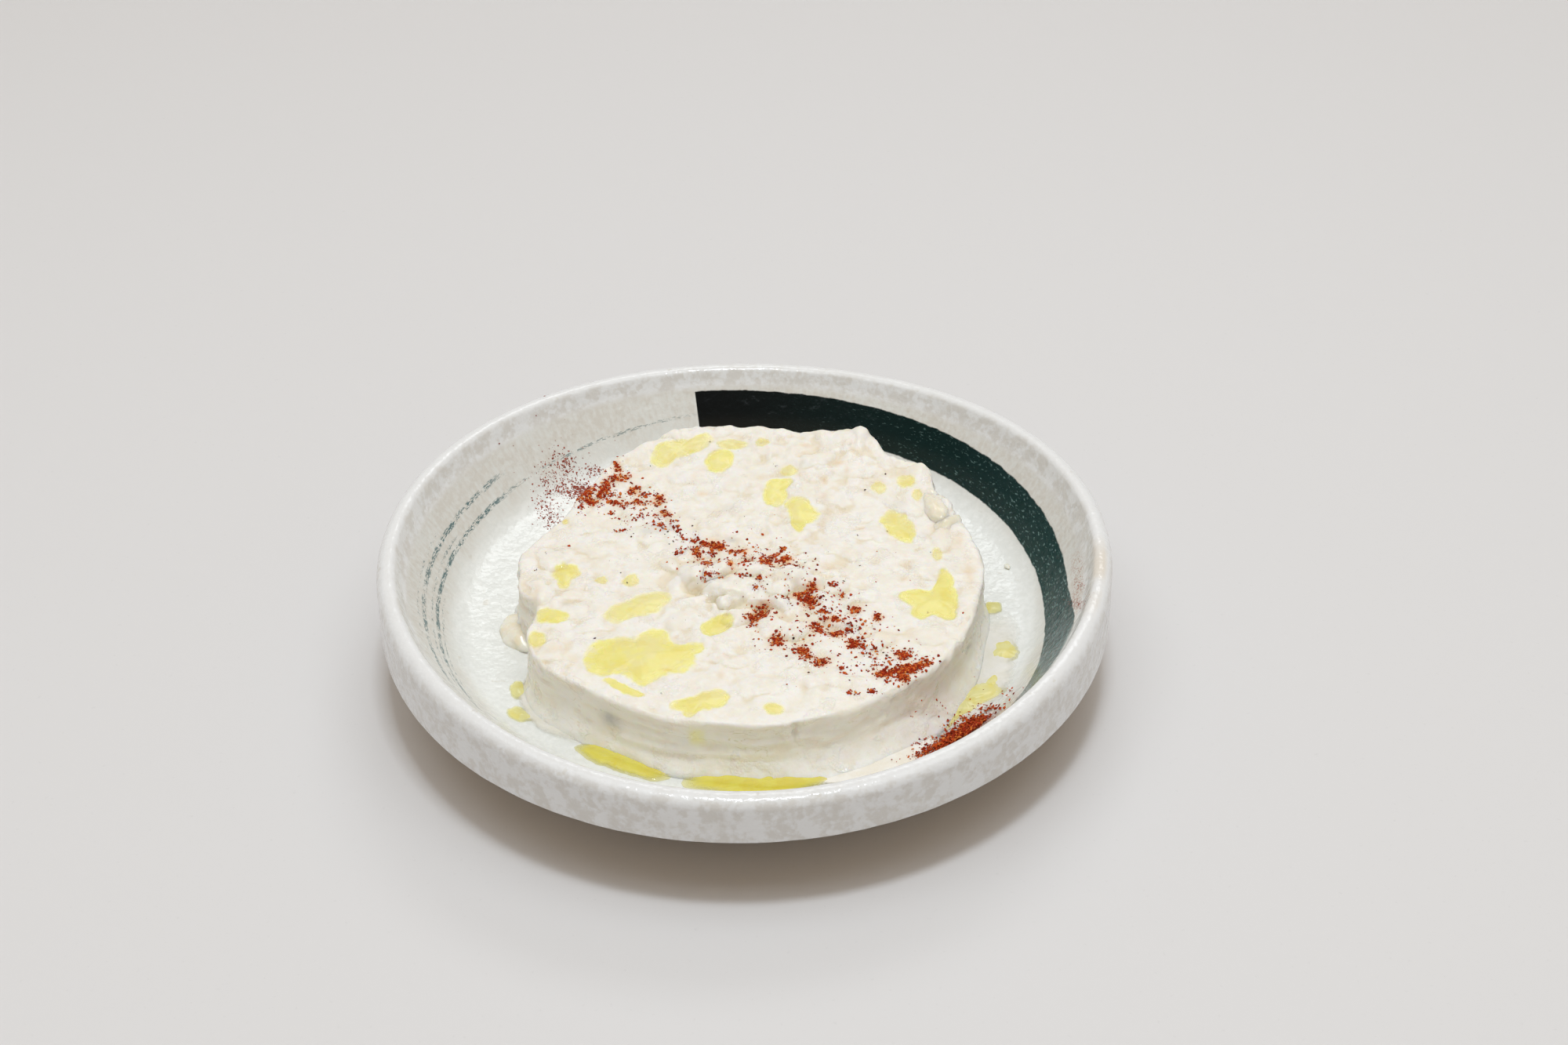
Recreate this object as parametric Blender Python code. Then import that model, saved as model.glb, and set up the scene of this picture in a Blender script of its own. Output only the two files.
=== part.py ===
"""Baba ganoush turned out of a ring mould into a shallow stoneware dish.

Units are metres, +Z is up. The origin is on the table, under the middle of the dish. The dish is a turned
outline whose rim rides up at the left and right, the dip is one uneven round cake on its floor, and the
olive oil that has run off the cake lies in shallow pools at its foot. The camera side of the dish is -Y.
"""
import math

import bmesh
import bpy

MM = 0.001
GAP = 0.3 * MM  # air kept between pieces that touch

# Dish, inside
DISH_SEGMENTS = 72
FLOOR_HEIGHT = 12.3 * MM  # at the middle
FLOOR_FLAT_RADIUS = 60.0 * MM
FLOOR_FLAT_RISE = 0.6 * MM  # how much the flat part dips towards the middle
FLOOR_RADIUS = 79.8 * MM  # where the wall starts
FLOOR_RISE = 2.6 * MM  # from the middle to the foot of the wall
FLOOR_BLEND = 9.0 * MM
WALL_TOP_RADIUS = 92.6 * MM  # where the sloping wall turns up into the lip
WALL_TOP_HEIGHT = 31.1 * MM

# Dish, lip and outside
RIM_INNER_RADIUS = 93.4 * MM
RIM_RADIUS = 100.1 * MM  # outside of the lip
RIM_HEIGHT = 36.3 * MM  # mean height of the crest
LIP_INNER_ROUND = 3.3 * MM
LIP_OUTER_ROUND = 3.6 * MM
ARRIS_RADIUS = 100.6 * MM  # lower edge of the upright outer band
ARRIS_HEIGHT = 20.7 * MM
ARRIS_ROUND = 0.7 * MM
BELLY_RADIUS = 85.0 * MM  # where the underside bends towards the foot
BELLY_HEIGHT = 11.0 * MM
BELLY_ROUND = 24.0 * MM
FOOT_RADIUS = 59.0 * MM
FOOT_WIDTH = 5.0 * MM
FOOT_HEIGHT = 6.2 * MM
FOOT_TAPER = 1.6 * MM
FOOT_ROUND = 0.8 * MM
RECESS_HEIGHT = 5.4 * MM  # underside inside the foot ring
RECESS_ROUND = 1.5 * MM
RIM_SADDLE = 2.8 * MM  # rise at the left and right, fall at the front and back
RIM_WAVE = 0.3 * MM  # three-lobed unevenness of the hand-made rim

# Dip
CAKE_SEGMENTS = 72
CAKE_CENTRE = (1.0 * MM, -5.0 * MM)
CAKE_RADIUS = 64.0 * MM
CAKE_TOP = 31.4 * MM  # level of the top above the table
CAKE_EDGE = 1.6 * MM  # rounding of the top edge
CAKE_WAIST = 0.5 * MM  # how far the side draws in between top and foot
BACK_RISE = 3.4 * MM  # the far side was left thicker
BACK_START = 15.0 * MM
BACK_LENGTH = 38.0 * MM
RIPPLE = 0.35 * MM  # low unevenness all over the top
RIPPLE_X = 9.0 * MM
RIPPLE_Y = 11.0 * MM
TOP_SHARES = (0.08, 0.16, 0.24, 0.32, 0.41, 0.5, 0.6, 0.7, 0.79, 0.87, 0.93)  # of the radius, ring by ring
UNDER_SHARES = (0.985, 0.8, 0.5)
OUTLINE_LOBES = (  # direction in degrees, half width in degrees, how far out
    (40, 4, 3.2 * MM),
    (62, 7, 4.8 * MM),
    (106, 11, 3.0 * MM),
    (153, 19, -6.0 * MM),
    (175, 5, 1.6 * MM),
    (196, 6, -5.2 * MM),
    (218, 10, 3.4 * MM),
    (262, 22, 0.9 * MM),
)
TOP_MOUNDS = (  # x, y, half length, half width, height: the dollop in the middle and clumps at the far edge
    (3.0 * MM, -13.0 * MM, 12.0 * MM, 7.5 * MM, 4.0 * MM),
    (-9.0 * MM, -9.0 * MM, 7.0 * MM, 5.5 * MM, 2.0 * MM),
    (16.0 * MM, -19.0 * MM, 7.0 * MM, 5.0 * MM, 1.6 * MM),
    (32.0 * MM, 52.0 * MM, 7.0 * MM, 5.0 * MM, 2.2 * MM),
    (-14.0 * MM, 56.0 * MM, 8.0 * MM, 5.0 * MM, 1.2 * MM),
)

# Oil pools: from and to in degrees round the dish, half width across, depth in the middle
POOL_SEGMENTS = 28
POOL_SWELL = 0.12  # unevenness of the outline, as a share of the half width
POOL_TOP_SHARES = (0.45, 0.8, 0.96)
POOL_UNDER_SHARES = (1.0, 0.6)
POOLS = {
    "oil_pool_left": (232.0, 256.0, 2.7 * MM, 1.3 * MM),
    "oil_pool_front": (257.5, 287.5, 3.4 * MM, 1.5 * MM),
    "oil_pool_right": (312.0, 333.0, 3.6 * MM, 1.0 * MM),
}

# Colour and roughness
GLAZE = ((0.78, 0.78, 0.76), 0.28)
DIP = ((0.86, 0.80, 0.68), 0.45)
OIL = ((0.72, 0.62, 0.10), 0.08)


def clear_scene():
    for item in list(bpy.data.objects):
        bpy.data.objects.remove(item)


def material(name, colour, roughness):
    made = bpy.data.materials.new(name)
    made.use_nodes = True
    shader = made.node_tree.nodes["Principled BSDF"]
    shader.inputs["Base Color"].default_value = (*colour, 1.0)
    shader.inputs["Roughness"].default_value = roughness
    shader.inputs["Metallic"].default_value = 0.0
    return made


def rounded_outline(corners, arc_step=math.radians(30)):
    """Points (r, z) along straight runs whose corners, given as (r, z, radius), are rounded by arcs."""
    points = [corners[0]]
    for before, corner, after in zip(corners, corners[1:], corners[2:]):
        r, z, radius = corner
        way_in = math.atan2(z - before[1], r - before[0])
        way_out = math.atan2(after[1] - z, after[0] - r)
        turn = math.remainder(way_out - way_in, 2 * math.pi)
        setback = radius * math.tan(abs(turn) / 2)
        side = math.copysign(math.pi / 2, turn)
        centre_r = r - setback * math.cos(way_in) + radius * math.cos(way_in + side)
        centre_z = z - setback * math.sin(way_in) + radius * math.sin(way_in + side)
        steps = max(1, math.ceil(abs(turn) / arc_step))
        for step in range(steps + 1):
            angle = way_in - side + turn * step / steps
            points.append((centre_r + radius * math.cos(angle), centre_z + radius * math.sin(angle)))
    points.append(corners[-1])
    return points


# From the middle of the floor, up the wall, over the lip and down under the foot to the axis
DISH_OUTLINE = rounded_outline((
    (0.0, FLOOR_HEIGHT),
    (FLOOR_FLAT_RADIUS, FLOOR_HEIGHT + FLOOR_FLAT_RISE, FLOOR_FLAT_RADIUS),
    (FLOOR_RADIUS, FLOOR_HEIGHT + FLOOR_RISE, FLOOR_BLEND),
    (WALL_TOP_RADIUS, WALL_TOP_HEIGHT, FLOOR_BLEND),
    (RIM_INNER_RADIUS, RIM_HEIGHT, LIP_INNER_ROUND),
    (RIM_RADIUS, RIM_HEIGHT, LIP_OUTER_ROUND),
    (ARRIS_RADIUS, ARRIS_HEIGHT, ARRIS_ROUND),
    (BELLY_RADIUS, BELLY_HEIGHT, BELLY_ROUND),
    (FOOT_RADIUS + FOOT_TAPER, FOOT_HEIGHT, RECESS_ROUND),
    (FOOT_RADIUS, 0.0, FOOT_ROUND),
    (FOOT_RADIUS - FOOT_WIDTH, 0.0, FOOT_ROUND),
    (FOOT_RADIUS - FOOT_WIDTH - FOOT_ROUND, RECESS_HEIGHT, RECESS_ROUND),
    (0.0, RECESS_HEIGHT),
))


def inner_height(radius):
    """Height of the inside of the dish at a distance from its axis."""
    for (r0, z0), (r1, z1) in zip(DISH_OUTLINE, DISH_OUTLINE[1:]):
        if r0 <= radius <= r1:
            return z0 + (z1 - z0) * (radius - r0) / (r1 - r0)
    raise ValueError("outside the bowl of the dish")


def rim_lift(angle, height):
    """How far a point of the dish rides up or down with the uneven rim. Below the arris nothing moves."""
    share = min(1.0, max(0.0, (height - ARRIS_HEIGHT) / (RIM_HEIGHT - ARRIS_HEIGHT)))
    return share * (RIM_SADDLE * math.cos(2 * angle) + RIM_WAVE * math.cos(3 * angle))


def turns(count):
    return [2 * math.pi * i / count for i in range(count)]


def skinned(name, rings, first_pole, last_pole, look):
    """One closed solid through rings of points, which run round +Z, each end closed onto a pole."""
    mesh = bmesh.new()
    rows = [[mesh.verts.new(point) for point in ring] for ring in rings]
    poles = (mesh.verts.new(first_pole), mesh.verts.new(last_pole))
    count = len(rows[0])
    for i in range(count):
        j = (i + 1) % count
        mesh.faces.new((poles[0], rows[0][i], rows[0][j]))
        mesh.faces.new((poles[1], rows[-1][j], rows[-1][i]))
        for upper, lower in zip(rows, rows[1:]):
            mesh.faces.new((upper[i], lower[i], lower[j], upper[j]))
    data = bpy.data.meshes.new(name)
    mesh.to_mesh(data)
    mesh.free()
    data.materials.append(look)
    data.shade_smooth()
    data.set_sharp_from_angle(angle=math.radians(40))
    piece = bpy.data.objects.new(name, data)
    bpy.context.collection.objects.link(piece)
    return piece


def make_dish():
    rings = []
    for r, z in DISH_OUTLINE[1:-1]:
        rings.append([
            (r * math.cos(a), r * math.sin(a), z + rim_lift(a, z)) for a in turns(DISH_SEGMENTS)
        ])
    skinned("dish", rings, (0, 0, FLOOR_HEIGHT), (0, 0, RECESS_HEIGHT), material("glaze", *GLAZE))


def cake_outline(angle):
    """Radius of the dip's side in a direction from its own middle."""
    radius = CAKE_RADIUS
    for direction, half_width, reach in OUTLINE_LOBES:
        away = math.remainder(angle - math.radians(direction), 2 * math.pi) / math.radians(half_width)
        radius += reach * math.exp(-away * away)
    return radius


def smooth_step(value):
    value = min(1.0, max(0.0, value))
    return value * value * (3 - 2 * value)


def cake_top(x, y):
    """Height of the dip's top: nearly level, thicker at the far side, with mounds."""
    height = CAKE_TOP + BACK_RISE * smooth_step((y - BACK_START) / BACK_LENGTH)
    height += RIPPLE * math.sin(x / RIPPLE_X + 1) * math.sin(y / RIPPLE_Y)
    for mound_x, mound_y, half_length, half_width, rise in TOP_MOUNDS:
        u = (x - mound_x) / half_length
        v = (y - mound_y) / half_width
        height += rise * math.exp(-u * u - v * v)
    return height


def cake_spots(share, inset):
    """Points (x, y) round the cake at a share of its outline, drawn in by an inset."""
    spots = []
    for angle in turns(CAKE_SEGMENTS):
        reach = cake_outline(angle) * share - inset
        spots.append((CAKE_CENTRE[0] + reach * math.cos(angle), CAKE_CENTRE[1] + reach * math.sin(angle)))
    return spots


def under_cake(x, y):
    return inner_height(math.hypot(x, y)) + GAP


def make_cake():
    """Rings run out over the top, round its edge, down the side and back in under the cake."""
    rings = []
    for share in TOP_SHARES:
        rings.append([(x, y, cake_top(x, y)) for x, y in cake_spots(share, 0)])
    for tilt in (0, math.pi / 6, math.pi / 3, math.pi / 2):
        inset = CAKE_EDGE * (1 - math.sin(tilt))
        drop = CAKE_EDGE * (1 - math.cos(tilt))
        rings.append([(x, y, cake_top(x, y) - drop) for x, y in cake_spots(1, inset)])
    for share_down in (0.4, 0.75, 0.97):
        ring = []
        for x, y in cake_spots(1, CAKE_WAIST * math.sin(math.pi * share_down)):
            low = under_cake(x, y)
            ring.append((x, y, low + (cake_top(x, y) - CAKE_EDGE - low) * (1 - share_down)))
        rings.append(ring)
    for share in UNDER_SHARES:
        rings.append([(x, y, under_cake(x, y)) for x, y in cake_spots(share, 0)])
    top = (*CAKE_CENTRE, cake_top(*CAKE_CENTRE))
    bottom = (*CAKE_CENTRE, under_cake(*CAKE_CENTRE))
    skinned("baba_ganoush", rings, top, bottom, material("dip", *DIP))


def cake_reach(angle):
    """Distance from the dish's axis to the dip's side, in a direction round the dish."""
    reach = CAKE_RADIUS
    for _ in range(20):  # settles on the point of the outline that lies in this direction
        x = reach * math.cos(angle) - CAKE_CENTRE[0]
        y = reach * math.sin(angle) - CAKE_CENTRE[1]
        reach += cake_outline(math.atan2(y, x)) - math.hypot(x, y)
    return reach


def make_pool(name, start, end, half_width, depth, look):
    """A lens of oil that follows the foot of the cake, domed on top and lying on the dish."""
    middle = math.radians(start + end) / 2
    half_turn = math.radians(end - start) / 2
    clearance = half_width * (1 + POOL_SWELL) + 3 * GAP

    def spot(share, direction):
        angle = middle + half_turn * share * math.cos(direction)
        swell = 1 + POOL_SWELL * math.sin(3 * direction + 1)
        across = half_width * share * swell * math.sin(direction)
        reach = cake_reach(angle) + clearance + across
        return reach * math.cos(angle), reach * math.sin(angle), inner_height(reach) + GAP

    # Directions run backwards, because along the pool and outwards is turned the other way round from +Z
    directions = turns(POOL_SEGMENTS)[::-1]
    rings = []
    for share in POOL_TOP_SHARES:
        dome = depth * math.sqrt(1 - share * share)
        rings.append([(x, y, z + dome) for x, y, z in (spot(share, d) for d in directions)])
    for share in POOL_UNDER_SHARES:
        rings.append([spot(share, d) for d in directions])
    x, y, z = spot(0.0, 0.0)
    skinned(name, rings, (x, y, z + depth), (x, y, z), look)


clear_scene()
make_dish()
make_cake()
oil = material("oil", *OIL)
for pool_name, sizes in POOLS.items():
    make_pool(pool_name, *sizes, oil)
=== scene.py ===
"""Baba ganoush turned out of a ring mould into a shallow stoneware dish, dressed with olive oil and chilli.

Units are metres, or millimetres where a name or a table says so, +Z is up and the camera side is -Y. The
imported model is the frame, and every piece here lies where its solid lies. Sections follow the plate as it is
made up: studio, dish, dip, oil, smears on the floor of the dish, lumps of aubergine, and chilli flakes.
"""
import math

import bmesh
import bpy
import numpy as np
from mathutils import Matrix, Vector, noise
from mathutils.bvhtree import BVHTree


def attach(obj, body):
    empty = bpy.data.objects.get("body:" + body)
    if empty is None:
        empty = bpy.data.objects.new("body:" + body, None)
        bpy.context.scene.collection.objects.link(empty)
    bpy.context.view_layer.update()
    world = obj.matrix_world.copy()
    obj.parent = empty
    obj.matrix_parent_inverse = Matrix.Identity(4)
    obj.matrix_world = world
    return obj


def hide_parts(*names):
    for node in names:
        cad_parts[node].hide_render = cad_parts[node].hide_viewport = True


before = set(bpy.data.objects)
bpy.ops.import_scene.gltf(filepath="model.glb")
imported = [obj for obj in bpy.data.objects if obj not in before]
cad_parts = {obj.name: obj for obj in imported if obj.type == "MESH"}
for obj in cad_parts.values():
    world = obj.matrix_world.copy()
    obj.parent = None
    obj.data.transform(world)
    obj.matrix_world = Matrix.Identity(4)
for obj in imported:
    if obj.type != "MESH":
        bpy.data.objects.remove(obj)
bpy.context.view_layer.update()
scene = bpy.context.scene


# --- Studio ------------------------------------------------------------------------------------------
# A pale table top that sweeps up into a low round wall. A small lamp overhead draws the edge of the shadow,
# a wide panel round it softens the rest, and a cool window stands behind. The light thrown back by the room
# is dim and warm. The camera looks down at 36 degrees from the front.

TABLE_RADIUS = 1.6
SWEEP_RADIUS = 0.5
WALL_HEIGHT = 1.1
TABLE_COLOUR = (0.745, 0.75, 0.765, 1.0)

LAMPS = (  # name, place, size, power and colour
    ("overhead_lamp", (0.04, -0.12, 1.7), (0.32, 0.22), 9.2, (0.865, 0.935, 1.0)),
    ("overhead_panel", (0.0, -0.1, 1.75), (2.3, 1.2), 10.8, (0.865, 0.935, 1.0)),
    ("window_behind", (0.3, 1.45, 1.65), (1.0, 0.5), 5.0, (0.93, 0.97, 1.0)),
)
ROOM_COLOUR = (1.0, 0.79, 0.56, 1.0)
ROOM_STRENGTH = 0.39

CAMERA_PLACE = (0.01075, -0.4796, 0.3921)
CAMERA_PITCH = math.radians(36.03)
CAMERA_ROLL = math.radians(-0.379)
CAMERA_LENS = 50.0

scene.view_settings.view_transform = "Standard"


def link(name, data):
    made = bpy.data.objects.new(name, data)
    scene.collection.objects.link(made)
    return made


def turned_sheet(name, outline, segments):
    """A sheet made by turning an outline of (r, z) points round the Z axis, facing up and inwards."""
    sheet = bmesh.new()
    middle = sheet.verts.new((0, 0, outline[0][1]))
    rings = []
    for r, z in outline[1:]:
        ring = []
        for i in range(segments):
            angle = 2 * math.pi * i / segments
            ring.append(sheet.verts.new((r * math.cos(angle), r * math.sin(angle), z)))
        rings.append(ring)
    for i in range(segments):
        j = (i + 1) % segments
        sheet.faces.new((middle, rings[0][i], rings[0][j]))
        for inner, outer in zip(rings, rings[1:]):
            sheet.faces.new((inner[i], outer[i], outer[j], inner[j]))
    data = bpy.data.meshes.new(name)
    sheet.to_mesh(data)
    sheet.free()
    data.shade_smooth()
    return link(name, data)


def feed(socket, value):
    """Joins a field or a socket to a socket, or sets a plain value on it."""
    if isinstance(value, Field):
        value = value.socket
    if isinstance(value, bpy.types.NodeSocket):
        socket.id_data.links.new(value, socket)
    else:
        socket.default_value = value


def add_node(tree, kind, inputs=None, **settings):
    made = tree.nodes.new(kind)
    for name, value in settings.items():
        setattr(made, name, value)
    for name, value in (inputs or {}).items():
        feed(made.inputs[name], value)
    return made


class Field:
    """A number that varies over a surface: a socket of a node tree that can be used in plain sums."""

    def __init__(self, socket):
        self.socket = socket

    def work(self, operation, *others):
        made = self.socket.id_data.nodes.new("ShaderNodeMath")
        made.operation = operation
        for socket, value in zip(made.inputs, (self, *others)):
            feed(socket, value)
        return Field(made.outputs[0])

    def __add__(self, other):
        return self.work("ADD", other)

    def __sub__(self, other):
        return self.work("SUBTRACT", other)

    def __rsub__(self, other):
        return self.work("MULTIPLY_ADD", -1.0, other)

    def __mul__(self, other):
        return self.work("MULTIPLY", other)

    __radd__ = __add__
    __rmul__ = __mul__

    def smooth(self, low, high):
        """0 below low, 1 above high, and an S between them. Low and high may be swapped or be fields."""
        made = add_node(self.socket.id_data, "ShaderNodeMapRange", interpolation_type="SMOOTHSTEP", inputs={
            "Value": self, "From Min": low, "From Max": high})
        return Field(made.outputs[0])


def surface(name):
    """A new material, with its node tree and its one shader."""
    made = bpy.data.materials.new(name)
    made.use_nodes = True
    return made, made.node_tree, made.node_tree.nodes["Principled BSDF"]


def grain(tree, size, where, detail=2.0, roughness=0.5, layer=0.0, distortion=0.0):
    """Cloudy noise, 0 to 1, with features of about size metres. Layer sets one noise apart from another."""
    made = add_node(tree, "ShaderNodeTexNoise", noise_dimensions="4D", inputs={
        "Vector": where, "W": layer, "Scale": 1 / size, "Detail": detail, "Roughness": roughness,
        "Distortion": distortion,
    })
    return Field(made.outputs[0])


def blend(tree, share, first, second, how="MIX"):
    """The first colour, with a share of the second mixed, or laid by another blend type, over it."""
    made = add_node(tree, "ShaderNodeMix", data_type="RGBA", blend_type=how, inputs={
        0: share, 6: first, 7: second})
    return made.outputs[2]


def place_in_piece(tree):
    return add_node(tree, "ShaderNodeTexCoord").outputs["Object"]


def read_attribute(tree, name):
    """A number kept at each point of the mesh."""
    return Field(add_node(tree, "ShaderNodeAttribute", attribute_name=name).outputs["Fac"])


def stretched(tree, where, scale):
    """Places scaled by a number for each axis, so that a pattern read at them is drawn out."""
    made = add_node(tree, "ShaderNodeVectorMath", operation="MULTIPLY", inputs={0: where, 1: scale})
    return made.outputs[0]


def set_relief(tree, shader, height, strength, distance):
    """Fine relief that is too small for the mesh."""
    bump = add_node(tree, "ShaderNodeBump", {"Strength": strength, "Distance": distance, "Height": height})
    feed(shader.inputs["Normal"], bump.outputs[0])


sweep = [(TABLE_RADIUS + SWEEP_RADIUS * math.sin(a), SWEEP_RADIUS * (1 - math.cos(a)))
         for a in (math.radians(10 * i) for i in range(10))]
table = turned_sheet("table_and_wall", [(0, 0), (0.5, 0), *sweep, (sweep[-1][0], WALL_HEIGHT)], 96)
laminate, tree, shader = surface("table_laminate")
flecks = grain(tree, 0.0015, place_in_piece(tree), detail=3.0).smooth(0.62, 0.75)
fleck_colour = tuple(0.955 * part for part in TABLE_COLOUR[:3]) + (1.0,)
feed(shader.inputs["Base Color"], blend(tree, flecks, TABLE_COLOUR, fleck_colour))
shader.inputs["Roughness"].default_value = 0.55
shader.inputs["Specular IOR Level"].default_value = 0.3
table.data.materials.append(laminate)

for name, place, size, power, colour in LAMPS:
    lamp = bpy.data.lights.new(name, "AREA")
    lamp.shape = "RECTANGLE"
    lamp.size, lamp.size_y = size
    lamp.energy = power
    lamp.color = colour
    holder = link(name, lamp)
    holder.location = place
    holder.rotation_euler = (-Vector(place)).to_track_quat("-Z", "Y").to_euler()

room = bpy.data.worlds.new("room")
room.use_nodes = True
room.node_tree.nodes["Background"].inputs["Color"].default_value = ROOM_COLOUR
room.node_tree.nodes["Background"].inputs["Strength"].default_value = ROOM_STRENGTH
scene.world = room

camera_data = bpy.data.cameras.new("camera")
camera_data.lens = CAMERA_LENS
camera_data.clip_start = 0.01
camera = link("camera", camera_data)
camera.matrix_world = (
    Matrix.Translation(CAMERA_PLACE)
    @ Matrix.Rotation(math.pi / 2 - CAMERA_PITCH, 4, "X")
    @ Matrix.Rotation(CAMERA_ROLL, 4, "Z")
)
scene.camera = camera


# --- Dish --------------------------------------------------------------------------------------------
# A thrown and turned stoneware dish: flat floor, short flared wall, thick rounded lip that rides up at the
# left and right, upright outer band and a foot ring. Its white glaze is glossy and mottled, and one loaded
# brush has drawn a dark green ring inside the wall, cut off square at its start and running dry at its end.

DISH_CORNERS_MM = (  # r, z and rounding, from the middle of the floor over the lip to the underside
    (0.0, 12.3, 0.0),
    (60.0, 12.9, 60.0),
    (79.8, 14.9, 9.0),
    (93.0, 31.4, 9.0),
    (95.2, 36.3, 2.2),
    (100.1, 36.3, 3.4),
    (100.6, 20.7, 0.7),
    (85.0, 11.0, 24.0),
    (60.6, 6.2, 1.5),
    (59.0, 0.0, 0.8),
    (54.0, 0.0, 0.8),
    (53.2, 5.4, 1.5),
    (0.0, 5.4, 0.0),
)
ARC_STEP = math.radians(9)
LONGEST_RUN_MM = 2.4
RING_START = math.radians(100.5)  # where the brush was set down, seen from above, anticlockwise from +X
DISH_SEGMENTS = 512
ARRIS_HEIGHT = 0.0207
RIM_HEIGHT = 0.0363
RIM_SADDLE = 0.0028
RIM_WAVE = 0.0003
GLAZE_DEPTH = 0.00022
GLAZE_LUMP = 0.0065

WHITE_GLAZE = (0.86, 0.885, 0.875, 1.0)
GREY_GLAZE = (0.79, 0.815, 0.80, 1.0)
BARE_WALL = (0.70, 0.685, 0.64, 1.0)
LIP_WHITE = (0.85, 0.87, 0.885, 1.0)
OUTER_GLAZE = (0.74, 0.735, 0.715, 1.0)
UNDER_GLAZE = (0.56, 0.44, 0.31, 1.0)
KILN_TAN = (0.62, 0.58, 0.49, 1.0)
RING_BLACK = (0.004, 0.006, 0.007, 1.0)
RING_GREEN = (0.003, 0.019, 0.019, 1.0)
RING_PALE = (0.035, 0.105, 0.10, 1.0)
RING_FLECK = (0.22, 0.36, 0.35, 1.0)
DRY_BRUSH = (0.05, 0.14, 0.155, 1.0)
RUST_DUST = (0.42, 0.17, 0.10, 1.0)
BUFF_SMEAR = (0.74, 0.66, 0.54, 1.0)
FOOT_CLAY = (0.52, 0.44, 0.34, 1.0)

STROKE_LINE_MM = 84.7  # where the dry strokes come closest to the middle
STROKE_MIDDLE = 300  # there, in degrees clockwise from the start of the ring
STROKE_SPREAD = 0.00055  # how fast they run outwards on both sides of it
STROKES = (  # out from that line and half width in mm, first and last degree, how full, how strong
    (0, 0.6, 232, 318, 0.51, 1.0), (0, 0.42, 300, 362, 0.485, 0.7), (1.3, 0.35, 238, 300, 0.47, 0.8),
    (-1.3, 0.3, 236, 285, 0.47, 0.8), (3.2, 0.62, 238, 318, 0.495, 1.0), (4.6, 0.3, 250, 296, 0.455, 0.7),
)
RING_INNER_MM = 82.4
RING_OUTER_MM = 91.7
RING_NARROWING = 0.0325  # mm for each degree, on the outer side
RING_EDGE_MM = 0.15
RING_THINS = 95  # degrees from the start where the brush begins to lift
RING_END = 146


def rounded_outline(corners, arc_step):
    """Points (r, z) along straight runs whose corners, given as (r, z, radius), are rounded by arcs."""
    points = [corners[0][:2]]
    for before, corner, after in zip(corners, corners[1:], corners[2:]):
        r, z, radius = corner
        way_in = math.atan2(z - before[1], r - before[0])
        way_out = math.atan2(after[1] - z, after[0] - r)
        turn = math.remainder(way_out - way_in, 2 * math.pi)
        setback = radius * math.tan(abs(turn) / 2)
        side = math.copysign(math.pi / 2, turn)
        centre_r = r - setback * math.cos(way_in) + radius * math.cos(way_in + side)
        centre_z = z - setback * math.sin(way_in) + radius * math.sin(way_in + side)
        steps = max(2, math.ceil(abs(turn) / arc_step))
        for step in range(steps + 1):
            angle = way_in - side + turn * step / steps
            points.append((centre_r + radius * math.cos(angle), centre_z + radius * math.sin(angle)))
    points.append(corners[-1][:2])
    return points


def evened(points, longest):
    """The same outline with its long runs cut into shorter ones."""
    made = [points[0]]
    for (r0, z0), (r1, z1) in zip(points, points[1:]):
        pieces = max(1, math.ceil(math.hypot(r1 - r0, z1 - z0) / longest))
        for i in range(1, pieces + 1):
            made.append((r0 + (r1 - r0) * i / pieces, z0 + (z1 - z0) * i / pieces))
    return made


DISH_OUTLINE_MM = rounded_outline(DISH_CORNERS_MM, ARC_STEP)
LIP_POINT = max(range(len(DISH_OUTLINE_MM)), key=lambda i: DISH_OUTLINE_MM[i][1])
INSIDE_R, INSIDE_Z = zip(*DISH_OUTLINE_MM[:LIP_POINT])


def dish_height_mm(x, y):
    """Height of the inside of the dish over a point, in millimetres, numbers or arrays."""
    r = np.hypot(x, y)
    z = np.interp(r, INSIDE_R, INSIDE_Z)
    share = np.clip((z - 1000 * ARRIS_HEIGHT) / 1000 / (RIM_HEIGHT - ARRIS_HEIGHT), 0, 1)
    angle = np.arctan2(y, x)
    return z + share * 1000 * (RIM_SADDLE * np.cos(2 * angle) + RIM_WAVE * np.cos(3 * angle))


def new_tree(name, inputs):
    """A Geometry Nodes tree with a geometry input and the named inputs, given as (name, socket type)."""
    tree = bpy.data.node_groups.new(name, "GeometryNodeTree")
    tree.interface.new_socket("Geometry", in_out="INPUT", socket_type="NodeSocketGeometry")
    for label, kind in inputs:
        tree.interface.new_socket(label, in_out="INPUT", socket_type="NodeSocket" + kind)
    tree.interface.new_socket("Geometry", in_out="OUTPUT", socket_type="NodeSocketGeometry")
    return tree, add_node(tree, "NodeGroupInput").outputs


def close_tree(tree, geometry, material):
    """Ends a tree in real, smooth-shaded geometry with its material."""
    real = add_node(tree, "GeometryNodeRealizeInstances", {"Geometry": geometry})
    shaded = add_node(tree, "GeometryNodeSetShadeSmooth", {"Geometry": real.outputs[0]})
    finished = add_node(tree, "GeometryNodeSetMaterial", {
        "Geometry": shaded.outputs[0], "Material": material})
    add_node(tree, "NodeGroupOutput", {"Geometry": finished.outputs[0]})


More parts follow.
